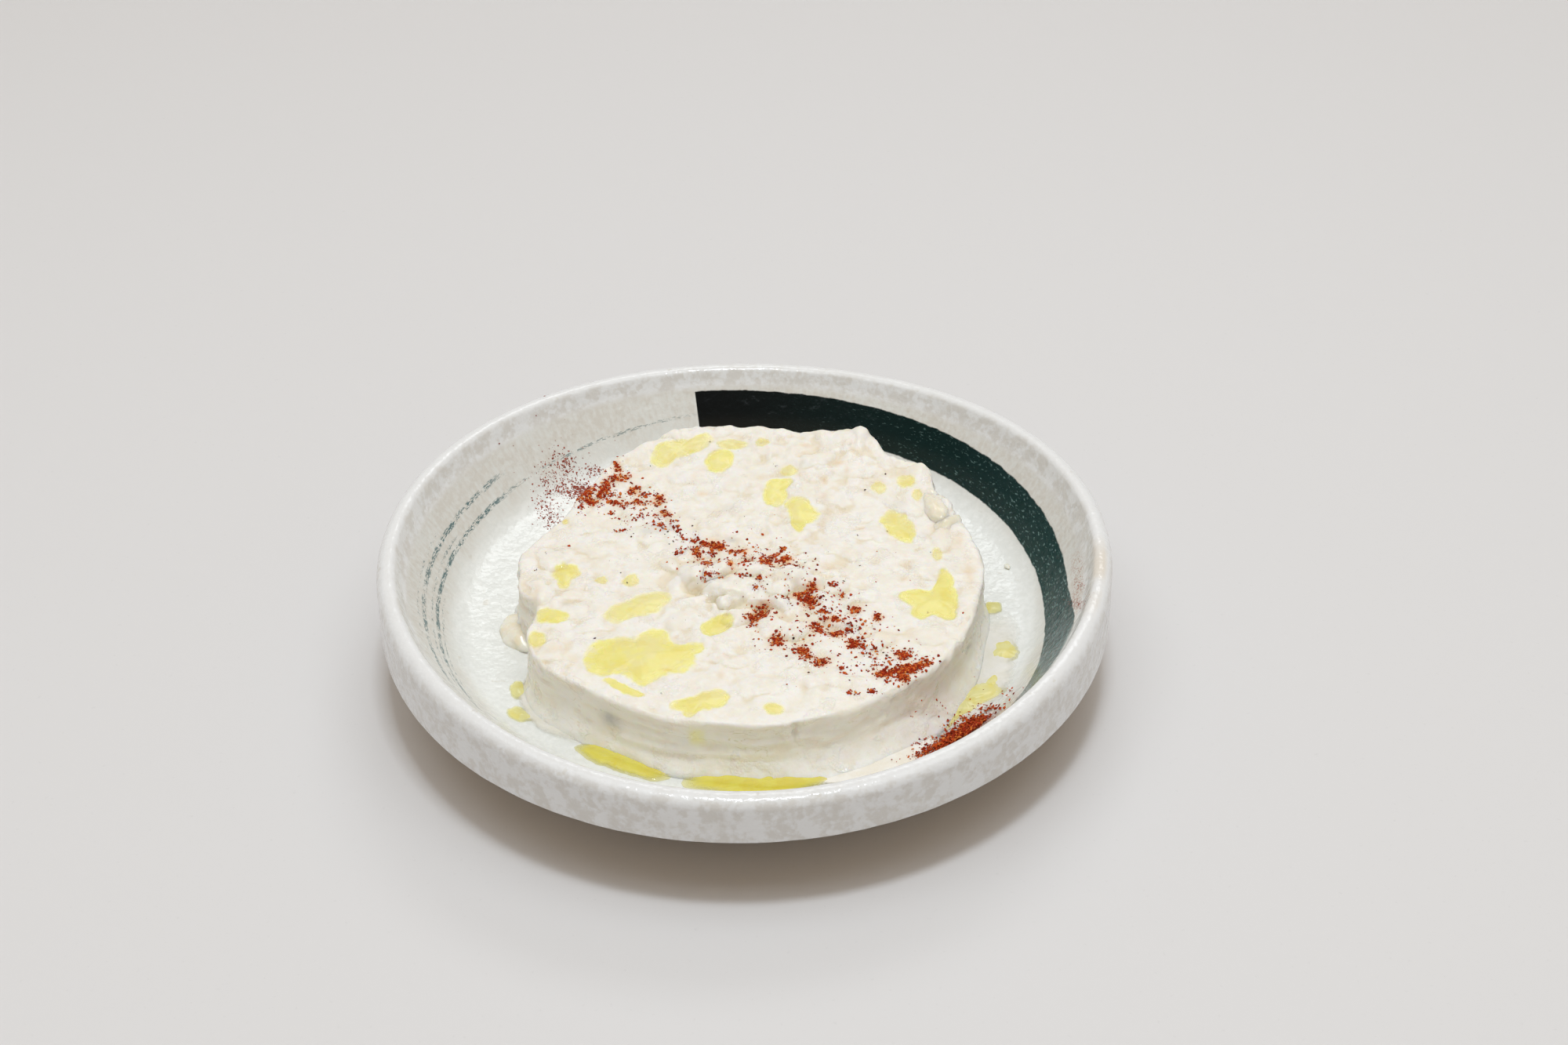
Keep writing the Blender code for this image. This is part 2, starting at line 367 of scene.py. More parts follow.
def grown(name, start, tree, values):
    """Runs a tree on a start mesh, with its inputs set by name, and keeps the result as a plain mesh."""
    carrier = link(name + "_start", start)
    growth = carrier.modifiers.new("growth", "NODES")
    growth.node_group = tree
    for item in tree.interface.items_tree:
        if item.in_out == "INPUT" and item.name in values:
            growth[item.identifier] = values[item.name]
    bpy.context.view_layer.update()
    result = carrier.evaluated_get(bpy.context.evaluated_depsgraph_get())
    data = bpy.data.meshes.new_from_object(result)
    carrier.modifiers.remove(growth)
    bpy.data.objects.remove(carrier)
    return link(name, data)


def points_mesh(name, points, attributes):
    """Loose points with attributes, each (name, type, values)."""
    data = bpy.data.meshes.new(name)
    data.from_pydata(points, [], [])
    for label, kind, values in attributes:
        made = data.attributes.new(label, kind, "POINT")
        for item, value in zip(made.data, values):
            if kind == "FLOAT_VECTOR":
                item.vector = value
            else:
                item.value = value
    return data


def dry_strokes(tree, here, spread, radius, turn):
    """The broken lines at the left, where hardly any paint was left on the brush, as a share of cover."""
    wobble = (grain(tree, 0.012, here, layer=5.0) - 0.5) * 0.8
    wobble = wobble + (grain(tree, 0.0012, here, layer=5.5) - 0.5) * 0.5
    lengthwise = stretched(tree, spread, (0.16, 0.28, 0.0))
    dashes = grain(tree, 0.0004, lengthwise, detail=3.0, roughness=0.7, layer=6.0)
    gaps = grain(tree, 0.003, here, detail=2.0, layer=6.5)
    swing = (turn - STROKE_MIDDLE).work("ABSOLUTE")
    line = STROKE_LINE_MM + (swing * swing) * STROKE_SPREAD
    share = 0.0
    for out, width, first, last, cover, strength in STROKES:
        away = (radius + wobble - (line + out)).work("ABSOLUTE")
        reach = turn.smooth(first, first + 14) * turn.smooth(last, last - 9)
        broken = (dashes * 0.7 + gaps * 0.3).smooth(cover + 0.02, cover - 0.03)
        share = (away.smooth(width, width * 0.4) * reach * broken * strength).work("MAXIMUM", share)
    return share


def brushed_ring(tree, here, spread, radius, turn):
    """The ring's cover and paint: near black where the brush was full, green as it thins, then broken."""
    edge = radius + (grain(tree, 0.0035, here, detail=3.0, layer=7.0) - 0.5) * 0.7
    late = (turn - RING_THINS).work("MAXIMUM", 0.0)
    inner = RING_INNER_MM + (turn * -0.0667).work("EXPONENT") * 1.5 + late * late * 0.0033
    outer = RING_OUTER_MM - turn.work("MINIMUM", RING_THINS) * RING_NARROWING + turn.smooth(103, 128) * 5
    bristle = grain(tree, 0.0009, here, detail=3.0, roughness=0.65, layer=8.0)
    hairs = grain(tree, 0.0006, stretched(tree, spread, (0.06, 0.28, 0.0)), roughness=0.6, layer=8.5)
    pits = grain(tree, 0.0007, stretched(tree, spread, (0.3, 0.28, 0.0)), layer=8.2)
    wet = turn.smooth(RING_END, 70) * 0.75 + 0.25
    bare = turn.smooth(104, 134)
    cover = bristle * (1 - bare * 0.6) + hairs * bare * 0.68 + wet * 0.75
    ring = edge.smooth(inner - RING_EDGE_MM, inner + RING_EDGE_MM)
    ring = ring * edge.smooth(outer + RING_EDGE_MM, outer - RING_EDGE_MM) * cover.smooth(0.52, 0.70)
    ring = ring * turn.smooth(RING_END, RING_END - 8) * turn.smooth(-0.02, 0.12)
    paint = blend(tree, turn.smooth(0, 60), RING_BLACK, RING_GREEN)
    paint = blend(tree, turn.smooth(50, 120) * (0.05 + bristle * 0.8), paint, RING_PALE)
    for flecks in ((pits + turn * 0.0006).smooth(0.62, 0.74) * turn.smooth(5, 100),
                   hairs.smooth(0.52, 0.66) * turn.smooth(108, 128)):
        paint = blend(tree, flecks * 0.6, paint, RING_FLECK)
    return ring, paint


def glaze_material():
    """Mottled glaze, the brushed ring and its dry strokes, dust on the lip, and bare clay under the foot."""
    material, tree, shader = surface("dish_glaze")
    here = place_in_piece(tree)
    height = Field(add_node(tree, "ShaderNodeSeparateXYZ", {"Vector": here}).outputs["Z"]) * 1000
    flat = stretched(tree, here, (1000, 1000, 0))
    length = add_node(tree, "ShaderNodeVectorMath", operation="LENGTH", inputs={0: flat})
    radius = Field(length.outputs["Value"])
    spread = add_node(tree, "ShaderNodeUVMap", uv_map="UVMap").outputs[0]  # round and along
    spread_parts = add_node(tree, "ShaderNodeSeparateXYZ", {"Vector": spread}).outputs
    turn = Field(spread_parts["X"]) * 360  # degrees clockwise from the square start of the ring
    along = Field(spread_parts["Y"])  # 0 in the middle of the floor, 1 under the foot
    inside = along.smooth(0.425, 0.415)

    # White glaze pooled on the floor, thin and buff on the wall, thick and white on the lip
    fine = grain(tree, 0.0016, here, detail=3.0, layer=1.0)
    cloud = grain(tree, 0.011, here, detail=3.0, layer=2.0)
    blotch = grain(tree, 0.0042, here, detail=3.0, roughness=0.6, layer=3.5)
    drawn = grain(tree, 0.0011, stretched(tree, spread, (0.55, 0.07, 0.0)), layer=3.0)
    floor = blend(tree, (fine * 0.6 + cloud * 0.4).smooth(0.4, 0.62), GREY_GLAZE, WHITE_GLAZE)
    thin = 0.25 + (drawn * 0.3 + fine * 0.4 + cloud * 0.3).smooth(0.38, 0.60) * 0.8
    inner = blend(tree, (radius + cloud * 9).smooth(84.0, 91.0) * thin, floor, BARE_WALL)
    outer = blend(tree, (fine * 0.35 + blotch * 0.65).smooth(0.42, 0.56), OUTER_GLAZE, LIP_WHITE)
    outer = blend(tree, cloud.smooth(0.56, 0.70) * 0.35, outer, BARE_WALL)
    body = blend(tree, inside, outer, inner)
    lip = height.smooth(31.5, 34.5) * (radius + blotch * 2).smooth(95.0, 97.0) * radius.smooth(100.2, 98.6)
    body = blend(tree, lip * 0.9, body, LIP_WHITE)
    tan = grain(tree, 0.0034, here, layer=4.0).smooth(0.68, 0.76) * 0.4
    body = blend(tree, tan, body, KILN_TAN)
    body = blend(tree, dry_strokes(tree, here, spread, radius, turn) * inside * 0.9, body, DRY_BRUSH)

    # Chilli dust and a thumb mark of dip at the right lip
    dust = (grain(tree, 0.0005, here, layer=10.0) * 0.8 + fine * 0.2).smooth(0.50, 0.60)
    rust = turn.smooth(97, 104) * turn.smooth(122, 114)
    rust = rust * radius.smooth(89.2, 90.6) * radius.smooth(94.4, 93.0)
    body = blend(tree, rust * dust * inside * 0.8, body, RUST_DUST)
    thumb = turn.smooth(100, 106) * turn.smooth(124, 114)
    thumb = thumb * radius.smooth(94.0, 95.4) * radius.smooth(99.0, 97.4)
    body = blend(tree, thumb * cloud.smooth(0.25, 0.6) * 0.6, body, BUFF_SMEAR)

    ring, paint = brushed_ring(tree, here, spread, radius, turn)
    painted = ring * inside
    body = blend(tree, painted, body, paint)

    # Thin brown glaze underneath, and bare clay where the foot was wiped clean
    wiped = height.smooth(0.9, 0.5)
    body = blend(tree, height.smooth(20.5, 19.0) * along.smooth(0.5, 0.52), body, UNDER_GLAZE)
    body = blend(tree, wiped, body, FOOT_CLAY)
    feed(shader.inputs["Base Color"], body)
    feed(shader.inputs["Roughness"], 0.14 + wiped * 0.6 + (fine - 0.5) * 0.12)
    shader.inputs["IOR"].default_value = 1.5
    feed(shader.inputs["Specular IOR Level"], 0.5 - painted * (0.16 + radius.smooth(83.5, 87.0) * 0.2))
    set_relief(tree, shader, fine * 0.4 + grain(tree, 0.0026, here, layer=9.0) * 1.2, 0.6, 0.0004)
    return material


def dish_tree():
    """Turns an outline of (r, 0, z) points, in order, round the Z axis and wobbles it like a thrown pot."""
    tree, given = new_tree("turned_dish", (
        ("Segments", "Int"), ("Start", "Float"), ("Arris Height", "Float"), ("Rim Height", "Float"),
        ("Saddle", "Float"), ("Wave", "Float"), ("Glaze Depth", "Float"), ("Glaze Lump", "Float"),
        ("Glaze", "Material"),
    ))
    rows = add_node(tree, "GeometryNodeAttributeDomainSize", {"Geometry": given["Geometry"]}).outputs[0]
    columns = Field(given["Segments"]) + 1
    sheet = add_node(tree, "GeometryNodeMeshGrid", {
        "Vertices X": rows, "Vertices Y": columns}).outputs["Mesh"]
    index = Field(add_node(tree, "GeometryNodeInputIndex").outputs[0])
    row = (index + 0.5).work("DIVIDE", columns).work("FLOOR")
    column = index - row * columns
    turn = column.work("DIVIDE", given["Segments"])

    def read(kind, value):
        return add_node(tree, "GeometryNodeSampleIndex", data_type=kind, inputs={
            "Geometry": given["Geometry"], "Value": value, "Index": row}).outputs["Value"]

    spot = add_node(tree, "GeometryNodeInputPosition").outputs[0]
    profile = add_node(tree, "ShaderNodeSeparateXYZ", {"Vector": read("FLOAT_VECTOR", spot)}).outputs
    radius, height = Field(profile["X"]), Field(profile["Z"])
    kept = add_node(tree, "GeometryNodeInputNamedAttribute", {"Name": "along"}, data_type="FLOAT")
    along = read("FLOAT", kept.outputs[0])
    angle = Field(given["Start"]) - turn * (2 * math.pi)
    whole_lift = Field(given["Rim Height"]) - given["Arris Height"]
    lift = (height - given["Arris Height"]).work("DIVIDE", whole_lift)
    lift = lift.work("MAXIMUM", 0.0).work("MINIMUM", 1.0)
    lift = lift * ((angle * 2).work("COSINE") * given["Saddle"] + (angle * 3).work("COSINE") * given["Wave"])
    place = add_node(tree, "ShaderNodeCombineXYZ", {
        "X": radius * angle.work("COSINE"), "Y": radius * angle.work("SINE"), "Z": height + lift})
    shaped = add_node(tree, "GeometryNodeSetPosition", {"Geometry": sheet, "Position": place.outputs[0]})
    chart = add_node(tree, "ShaderNodeCombineXYZ", {"X": turn, "Y": along})
    on_points = add_node(tree, "GeometryNodeFieldOnDomain", {0: chart.outputs[0]},
                         data_type="FLOAT_VECTOR", domain="POINT")
    mapped = add_node(tree, "GeometryNodeStoreNamedAttribute", data_type="FLOAT2", domain="CORNER", inputs={
        "Geometry": shaped.outputs[0], "Name": "UVMap", "Value": on_points.outputs[0]})
    closed = add_node(tree, "GeometryNodeMergeByDistance", {"Geometry": mapped.outputs[0], "Distance": 1e-6})
    cloud = add_node(tree, "ShaderNodeTexNoise", {
        "Scale": Field(given["Glaze Lump"]).work("POWER", -1.0), "Detail": 1.5})
    over_table = Field(add_node(tree, "ShaderNodeSeparateXYZ", {"Vector": spot}).outputs["Z"])
    resting = over_table.smooth(0.0006, 0.003)
    depth = Field(cloud.outputs[0]) * given["Glaze Depth"] * resting * -1
    normal = add_node(tree, "GeometryNodeInputNormal").outputs[0]
    sunk = add_node(tree, "ShaderNodeVectorMath", {0: normal, "Scale": depth}, operation="SCALE")
    outward = add_node(tree, "GeometryNodeFlipFaces", {"Mesh": closed.outputs[0]})
    glazed = add_node(tree, "GeometryNodeSetPosition", {
        "Geometry": outward.outputs[0], "Offset": sunk.outputs[0]})
    close_tree(tree, glazed.outputs[0], given["Glaze"])
    return tree


outline = evened(DISH_OUTLINE_MM, LONGEST_RUN_MM)
lengths = np.cumsum([0.0] + [math.dist(a, b) for a, b in zip(outline, outline[1:])])
profile = points_mesh("dish_outline", [(r / 1000, 0, z / 1000) for r, z in outline], (
    ("along", "FLOAT", list(lengths / lengths[-1])),
))
dish = grown("glazed_dish", profile, dish_tree(), {
    "Segments": DISH_SEGMENTS, "Start": RING_START, "Arris Height": ARRIS_HEIGHT, "Rim Height": RIM_HEIGHT,
    "Saddle": RIM_SADDLE, "Wave": RIM_WAVE, "Glaze Depth": GLAZE_DEPTH, "Glaze Lump": GLAZE_LUMP,
    "Glaze": glaze_material(),
})
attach(dish, "root")
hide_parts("dish")


# --- Dip ---------------------------------------------------------------------------------------------
# Smoked aubergine mashed with yoghurt and tahini, pressed into a ring mould on the dish and let go. The top
# is curdy, knife-smeared and heaped in the middle, the side keeps the drag marks of the mould, and the far
# edge tore into clumps as the ring was lifted. Oil and chilli have stained it where they lie.

CAKE_CENTRE_MM = (1.0, -5.0)
CAKE_RADIUS_MM = 64.0
CAKE_TOP_MM = 31.4
EDGE_ROUND_MM = 1.2
WAIST_MM = 0.5
FOOT_SPREAD_MM = 2.2
BACK_RISE_MM = 3.4
BACK_START_MM = 15.0
BACK_LENGTH_MM = 38.0
SUNK_MM = 0.5  # how far its foot sits in the glaze
CAKE_LIMIT_MM = 38.4  # nothing of it stands higher
TOP_GRID = 240
SIDE_ROWS = 22
OUTLINE_LOBES = (  # direction and half width in degrees, how far out in mm
    (40, 4, 3.2), (62, 7, 4.8), (106, 11, 3), (153, 19, -6), (175, 5, 1.6), (196, 6, -5.2),
    (218, 10, 3.4), (262, 22, 0.9),
)
MOUNDS = (  # x, y, half length, half width, height, in mm: the heap in the middle, then the far edge
    (3, -13, 12, 7.5, 2.6), (-9, -9, 7, 5.5, 1.2), (16, -19, 7, 5, 1), (32, 52, 7, 5, 2.2),
    (-14, 56, 8, 5, 1.2), (21, 55.5, 2.8, 2.6, 1.7), (33.5, 53.5, 1.9, 2.8, 1.9), (29.5, 51, 3, 2.4, 0.6),
    (39, 49, 2.2, 2.4, 1.2), (50, 38.5, 3, 3.5, 1.4), (1, 59.5, 6, 3.2, 1), (11, 58.5, 3, 2.6, 0.5),
    (-60, -1, 3, 4, 1), (-25, 51, 4, 3, 0.8), (57, 22, 3, 6, 1.2), (-53, -19, 3, 3, 0.8),
)
LOBES = (  # x, y, half length, half width, height in mm: rounded lumps turned over by the spoon
    (-13.6, -10.5, 3.6, 6.5, 2.4), (-3.5, -17.5, 7.5, 4.6, 2.5), (12, -12.5, 8.6, 6.6, 2.5),
    (2, -8, 6, 4.4, 2), (-7.5, -7, 4.6, 4, 1.7), (20, -21.5, 5.6, 4.2, 1.6), (11.5, -32, 7, 4.4, 1.4),
    (25, -28, 4.8, 3.4, 1.3), (-1, -26.5, 5.2, 3.2, 1.3), (36, -36, 5.4, 3, 1), (6, -21.5, 6, 3.6, 1.6),
    (24.5, -13, 4.4, 3.6, 1.1), (-19.5, -3, 3.8, 3.4, 1.2), (-12.5, 1.5, 4.6, 3.2, 1),
    (1.5, 1, 5.4, 3, 0.9), (14, -2, 5.2, 3.2, 0.9), (31, -18.5, 5, 3, 0.8), (29, 3, 6, 3.6, 0.7),
    (36, 12, 5.6, 4.4, 0.6), (25, 27, 6.4, 4.2, 0.7), (31, 40, 6.2, 4.2, 0.8), (20.5, 44, 5.2, 3.8, 0.8),
    (6, 48, 5.4, 4, 0.6), (-3, 33, 6.6, 4, 0.5), (-16, 36, 6, 3.6, 0.6), (-29, 36, 5, 4.4, 0.6),
    (-27, 11, 7, 4, 0.6), (-41, 5, 7, 5, 0.7), (-52.5, 1, 5.4, 4.6, 1), (-55, -15, 4.6, 5.6, 1.1),
    (-46, -18, 4.6, 3.4, 0.7), (-50, -39, 4.4, 4.8, 0.9), (-40, -29.5, 4.6, 3, 0.6),
    (-4, -44, 6.8, 3.6, 0.7), (4, -55, 7.2, 3.4, 0.6), (22, -52, 7, 3.4, 0.7), (31, -54, 4.2, 2.6, 0.5),
    (14, -45.5, 5.2, 2.8, 0.6), (51, -5, 4.6, 5.8, 0.6), (55, 8, 3.6, 6.4, 0.8), (46, 22, 4.8, 4.4, 0.6),
    (57, 24, 3.2, 5, 0.8), (-44, 15, 5.4, 4.2, 0.5), (-8, 14, 6.4, 3.8, 0.5), (13, 12, 5.8, 4, 0.5),
    (41, -30, 4, 5, 0.5), (-18, -27.5, 5.2, 3, 0.5), (-22, 55, 4, 2.6, 0.8), (-6, 57.5, 4.2, 2.4, 0.6),
    (46, 42, 3.4, 3, 0.7), (-38, 44, 3.4, 2.6, 0.7), (50, -35, 3.2, 4.2, 0.5),
)
OIL_PATCHES = (  # how yellow, depth in mm, and blobs of x, y, half length and half width in mm
    (0.7, 0.35, (
        (-25, 44, 3, 3.4), (-21.8, 48, 3.8, 3.2), (-16.5, 49.5, 4.2, 2.8), (-12.5, 52.5, 2.6, 2.2),
    )),
    (1, 0.5, ((-8.6, 41.6, 3.2, 3.6), (-6.9, 45, 2.8, 3))),
    (0.5, 0.25, ((-4.2, 50.5, 4.6, 2.6),)),
    (0.25, 0.2, ((4.4, 51, 2.3, 2.8),)),
    (0.45, 0.3, ((12.2, 38.8, 2.7, 2.6),)),
    (0.85, 0.45, ((8.2, 31.5, 2.8, 3.6), (8, 26.8, 2.8, 3.4), (11.5, 33.5, 1.6, 1.6))),
    (0.95, 0.5, ((14, 24.5, 2.8, 3), (17.3, 20.2, 3.6, 3.4), (14.9, 14.8, 1.9, 3.6))),
    (0.4, 0.3, ((37.9, 31.2, 2.1, 3),)),
    (0.55, 0.3, ((45.9, 33.6, 2.8, 2.8),)),
    (0.3, 0.25, ((48.8, 28, 1.6, 2.7),)),
    (0.85, 0.5, ((41.2, 16.6, 3.4, 4.2), (44.3, 11.2, 3, 5))),
    (0.35, 0.2, ((52.8, 0.5, 1.6, 3.4),)),
    (1.35, 0.45, (
        (54.4, -11.5, 1.9, 5.2), (53, -19.5, 4, 4.6), (45.6, -18, 4.2, 2.6), (46.8, -24.6, 2.2, 3),
        (54.2, -26, 2, 2.2),
    )),
    (0.95, 0.4, ((-48.9, -6.3, 3.9, 3.6), (-49, -11.3, 1.5, 2))),
    (0.4, 0.2, ((-38.9, -10, 1.8, 2),)),
    (0.35, 0.25, ((-31, -10.5, 2.3, 3),)),
    (0.6, 0.4, (
        (-26.2, -20.4, 4.9, 4.2), (-34.4, -25.2, 2.6, 3.4), (-31, -23.5, 2.6, 2.2), (-23, -17, 2.2, 1.8),
    )),
    (0.9, 0.35, ((-53.2, -25, 2.3, 2.7), (-49.2, -25.8, 2.6, 2.4))),
    (0.65, 0.3, ((-54.4, -35.2, 2.4, 3.8),)),
    (0.9, 0.5, (
        (-34.5, -42.5, 5.2, 5.6), (-27, -41, 5.6, 6.2), (-22.8, -36, 2.9, 4.6), (-25.3, -49, 3.2, 4.4),
        (-16.6, -44.5, 4.2, 4.8), (-12.8, -38.6, 2.2, 1.8), (-37.8, -43.5, 2.4, 5.2),
    )),
    (0.9, 0.3, (
        (-34.5, -52.2, 2, 1), (-31.6, -54.2, 2, 1.1), (-29, -56.2, 2, 1.1), (-26.8, -57.8, 1.6, 0.9),
    )),
    (0.9, 0.4, (
        (-13, -61.2, 3.8, 2.3), (-7.4, -59.4, 3.5, 3.5), (-16.4, -62, 1.6, 1.3), (-13.4, -65, 1.4, 1.4),
    )),
    (0.9, 0.4, ((-5.8, -28.8, 3.1, 3.3), (-9, -31.5, 2.3, 2.3))),
    (0.6, 0.3, ((7.8, -63.4, 2.7, 2.3),)),
    (0.5, 0.2, ((-50.9, 17.3, 1, 1.4),)),
)
TAN_BITS_AND_HEAP_SHADE = (  # bits of browned aubergine and onion in it, and painted shade under lumps of the heap: x, y, half length, half width, strength
    (26.5, 41.5, 1.9, 1.4, 0.9), (22.4, 34.5, 1, 2, 0.9), (17.2, 49.6, 2.2, 0.9, 0.7),
    (-12.6, 28.9, 1.5, 0.8, 0.8), (-15, 36, 1.1, 1.2, 0.4), (43, -10.6, 1.2, 1.3, 0.6),
    (29, 37.5, 0.7, 2.4, 0.5), (-19.7, -47.8, 1.6, 0.7, 0.9), (-5.8, -50.6, 1.1, 1.6, 0.5),
    (-3, -43.5, 3.2, 1.2, 0.5), (55, 14, 3.2, 4.6, 0.55), (59.3, 8, 1.8, 3.2, 0.5),
    (61, -8, 1.2, 6.5, 0.5), (-49, -40, 3, 1.6, 0.5), (-14, -16, 2.6, 1.4, 0.6), (24, -4, 4.2, 2.2, 0.4),
    (37, -34.5, 4.4, 1.8, 0.5), (15.5, 36.5, 1.6, 1.8, 0.4), (-34.5, 4.5, 2.4, 1.4, 0.3),
    (-47.5, 4, 2.6, 1, 0.35), (22, 27, 1.2, 1.4, 0.4), (32.5, 13, 1, 2, 0.35), (17.5, 7, 1.8, 1.4, 0.4),
    (5.5, -12.5, 4.6, 1.4, 0.35), (20, -29, 5, 1.6, 0.35), (-56, -15, 0.9, 5, 0.5), (-43, 0, 5, 2, 0.2),
    (10, -27, 4, 1.4, 0.35), (36, 34, 3, 1.6, 0.3), (30, 49, 2.6, 0.9, 0.35), (43, -4, 2.4, 1.4, 0.25),
    (24, 20, 1.2, 3.2, 0.3),
)
GREY_BITS = (  # bits of blackened skin in it, given in the same way
    (-23.5, 14, 3.6, 2.4, 0.35), (-4, 8, 1.8, 1.2, 0.5), (-27, 12, 3.4, 1.6, 0.3), (-4, 22, 2, 2.6, 0.2),
    (16.5, 41, 1.4, 1.4, 0.25), (43.5, 23.5, 2.4, 2, 0.2), (27.5, -31, 0.9, 1.6, 0.5),
    (-47.5, -20.5, 1.6, 1, 0.3), (50, 10, 1.2, 2, 0.2), (-15, 18.6, 1.4, 0.6, 0.3),
    (-24.5, 19, 2.4, 2, 0.2),
)
CREASES = (  # x, y, half length, half width, depth in mm: where the heap folded over; shade is painted along them too
    (-6.8, -19.6, 2.8, 0.55, 1), (-14.5, -13.5, 1.6, 0.6, 0.5), (4, -22.5, 3.4, 0.6, 0.5),
    (13, -20.5, 3, 0.6, 0.4), (-2.5, -11, 3.2, 0.6, 0.4),
)
SIDE_GREY_MM = (-34.0, -59.0, 24.0)  # a lump of grey skin that shows in the side
SIDE_GREY_SIZE_MM = 3.2
SIDE_DRIP = (260.3, 1.9)  # a thread of oil down the side: direction in degrees, half width in mm
SIDE_NOTCH = (281.0, 0.8)  # a nick in the near edge: direction and half width in degrees
FOLDS_AT = (316.0, 17.0)  # slanting folds in the side: direction and half width in degrees
FOOT_FLARE = (302.0, 30.0, 5.0)  # where the foot was dragged out over the dish: degrees, half width, mm

CREAM = (0.89, 0.855, 0.77, 1.0)
CURD_WHITE = (0.925, 0.91, 0.865, 1.0)
WET_FLESH = (0.83, 0.775, 0.665, 1.0)
# Paler cream for the side: painted light that brightens it.
SIDE_PAINTED_LIGHT_CREAM = (0.965, 0.935, 0.85, 1.0)
SIDE_TAN = (0.91, 0.83, 0.70, 1.0)
# Olive for the threads in the side, and for the shade painted into creases.
OLIVE_THREADS_AND_CREASE_SHADE = (0.66, 0.60, 0.36, 1.0)
BROWNED = (0.82, 0.66, 0.46, 1.0)
# Warm tan painted into the hollows as shade.
PAINTED_HOLLOW_SHADE = (0.84, 0.75, 0.58, 1.0)
CHARRED = (0.42, 0.42, 0.40, 1.0)
OIL_STAIN = (1.0, 0.975, 0.42, 1.0)
CHILLI_STAIN = (0.96, 0.50, 0.20, 1.0)


def smooth_step(value):
    value = np.clip(value, 0, 1)
    return value * value * (3 - 2 * value)


def bell(away, half_width):
    """A smooth hump: 1 where away is 0, about a third at the half width, then dying out."""
    return np.exp(-((away / half_width) ** 2))


def degrees_off(angle, direction):
    """How far an angle in radians is from a direction in degrees, -180 to 180."""
    return np.degrees(np.remainder(angle - math.radians(direction) + math.pi, 2 * math.pi) - math.pi)


def cake_outline_mm(angle):
    """Radius of the dip's side in a direction from its own middle."""
    radius = CAKE_RADIUS_MM
    radius = radius + 0.4 * np.sin(9 * angle + 1) + 0.25 * np.sin(17 * angle + 2)
    for direction, half_width, reach in OUTLINE_LOBES:
        radius = radius + reach * bell(degrees_off(angle, direction), half_width)
    return radius


def noise_at(x, y, z, size):
    """Smooth noise, -1 to 1, at arrays of places in mm; size is one number, or one each for x, y and z."""
    sx, sy, sz = size if isinstance(size, tuple) else (size, size, size)
    places = zip((x / sx).tolist(), (y / sy).tolist(), (z / sz).tolist())
    return np.array([noise.noise(place) for place in places])


def lobes_at(x, y):
    """How high the turned-over lumps stand in mm, and how deep in a crease at their feet a place lies."""
    shape = np.shape(x)
    x, y = np.ravel(x).astype(float), np.ravel(y).astype(float)
    bent_x = x + 3.4 * noise_at(x, y, 0 * x + 30, 7.0) + 1.2 * noise_at(x, y, 0 * x + 33, 2.6)
    bent_y = y + 3.4 * noise_at(x, y, 0 * x + 36, 7.0) + 1.2 * noise_at(x, y, 0 * x + 39, 2.6)
    height = 0 * x
    crease = 0 * x
    for lobe_x, lobe_y, half_x, half_y, rise in LOBES:
        away = np.hypot((bent_x - lobe_x) / half_x, (bent_y - lobe_y) / half_y)
        height = np.maximum(height, rise * np.clip(1 - away**2.2, 0, 1) ** 0.85)
        near_side = smooth_step((lobe_y - bent_y) / half_y - 0.25)
        # The crease at the near foot of each lump: a shallow groove, and where shade is painted.
        foot = bell(away - 1.04, 0.13) * near_side * min(1.0, rise / 2.2)
        crease = np.maximum(crease, foot)
    return height.reshape(shape), crease.reshape(shape)


def cake_top_mm(x, y):
    """Height of the dip's top: nearly level, thicker at the far side, with its mounds and folds."""
    height = CAKE_TOP_MM + BACK_RISE_MM * smooth_step((y - BACK_START_MM) / BACK_LENGTH_MM)
    for mound_x, mound_y, half_length, half_width, rise in MOUNDS:
        height = height + rise * bell(x - mound_x, half_length) * bell(y - mound_y, half_width)
    lobes, crease = lobes_at(x, y)
    return height + lobes - 0.5 * crease - marks_at(CREASES, x, y)


def blobs_at(blobs, x, y):
    """Over 0.5 inside the joined outline of some blobs, and under 0.5 outside it."""
    total = 0
    for blob_x, blob_y, half_x, half_y in blobs:
        total = total + np.exp(-math.log(2) * (((x - blob_x) / half_x) ** 2 + ((y - blob_y) / half_y) ** 2))
    return total


def patch_outline(x, y):
    """How far out the outline of a patch of oil wanders, as a share."""
    return 1 + 0.32 * noise_at(x, y, 0 * x + 3.0, 3.0) + 0.17 * noise_at(x, y, 0 * x + 9.0, 1.3)


def marks_at(marks, x, y):
    """The strongest of some soft marks, each (x, y, half length, half width, strength), at every place."""
    total = 0
    for mark_x, mark_y, half_x, half_y, strength in marks:
        total = np.maximum(total, strength * bell(x - mark_x, half_x) * bell(y - mark_y, half_y))
    return total


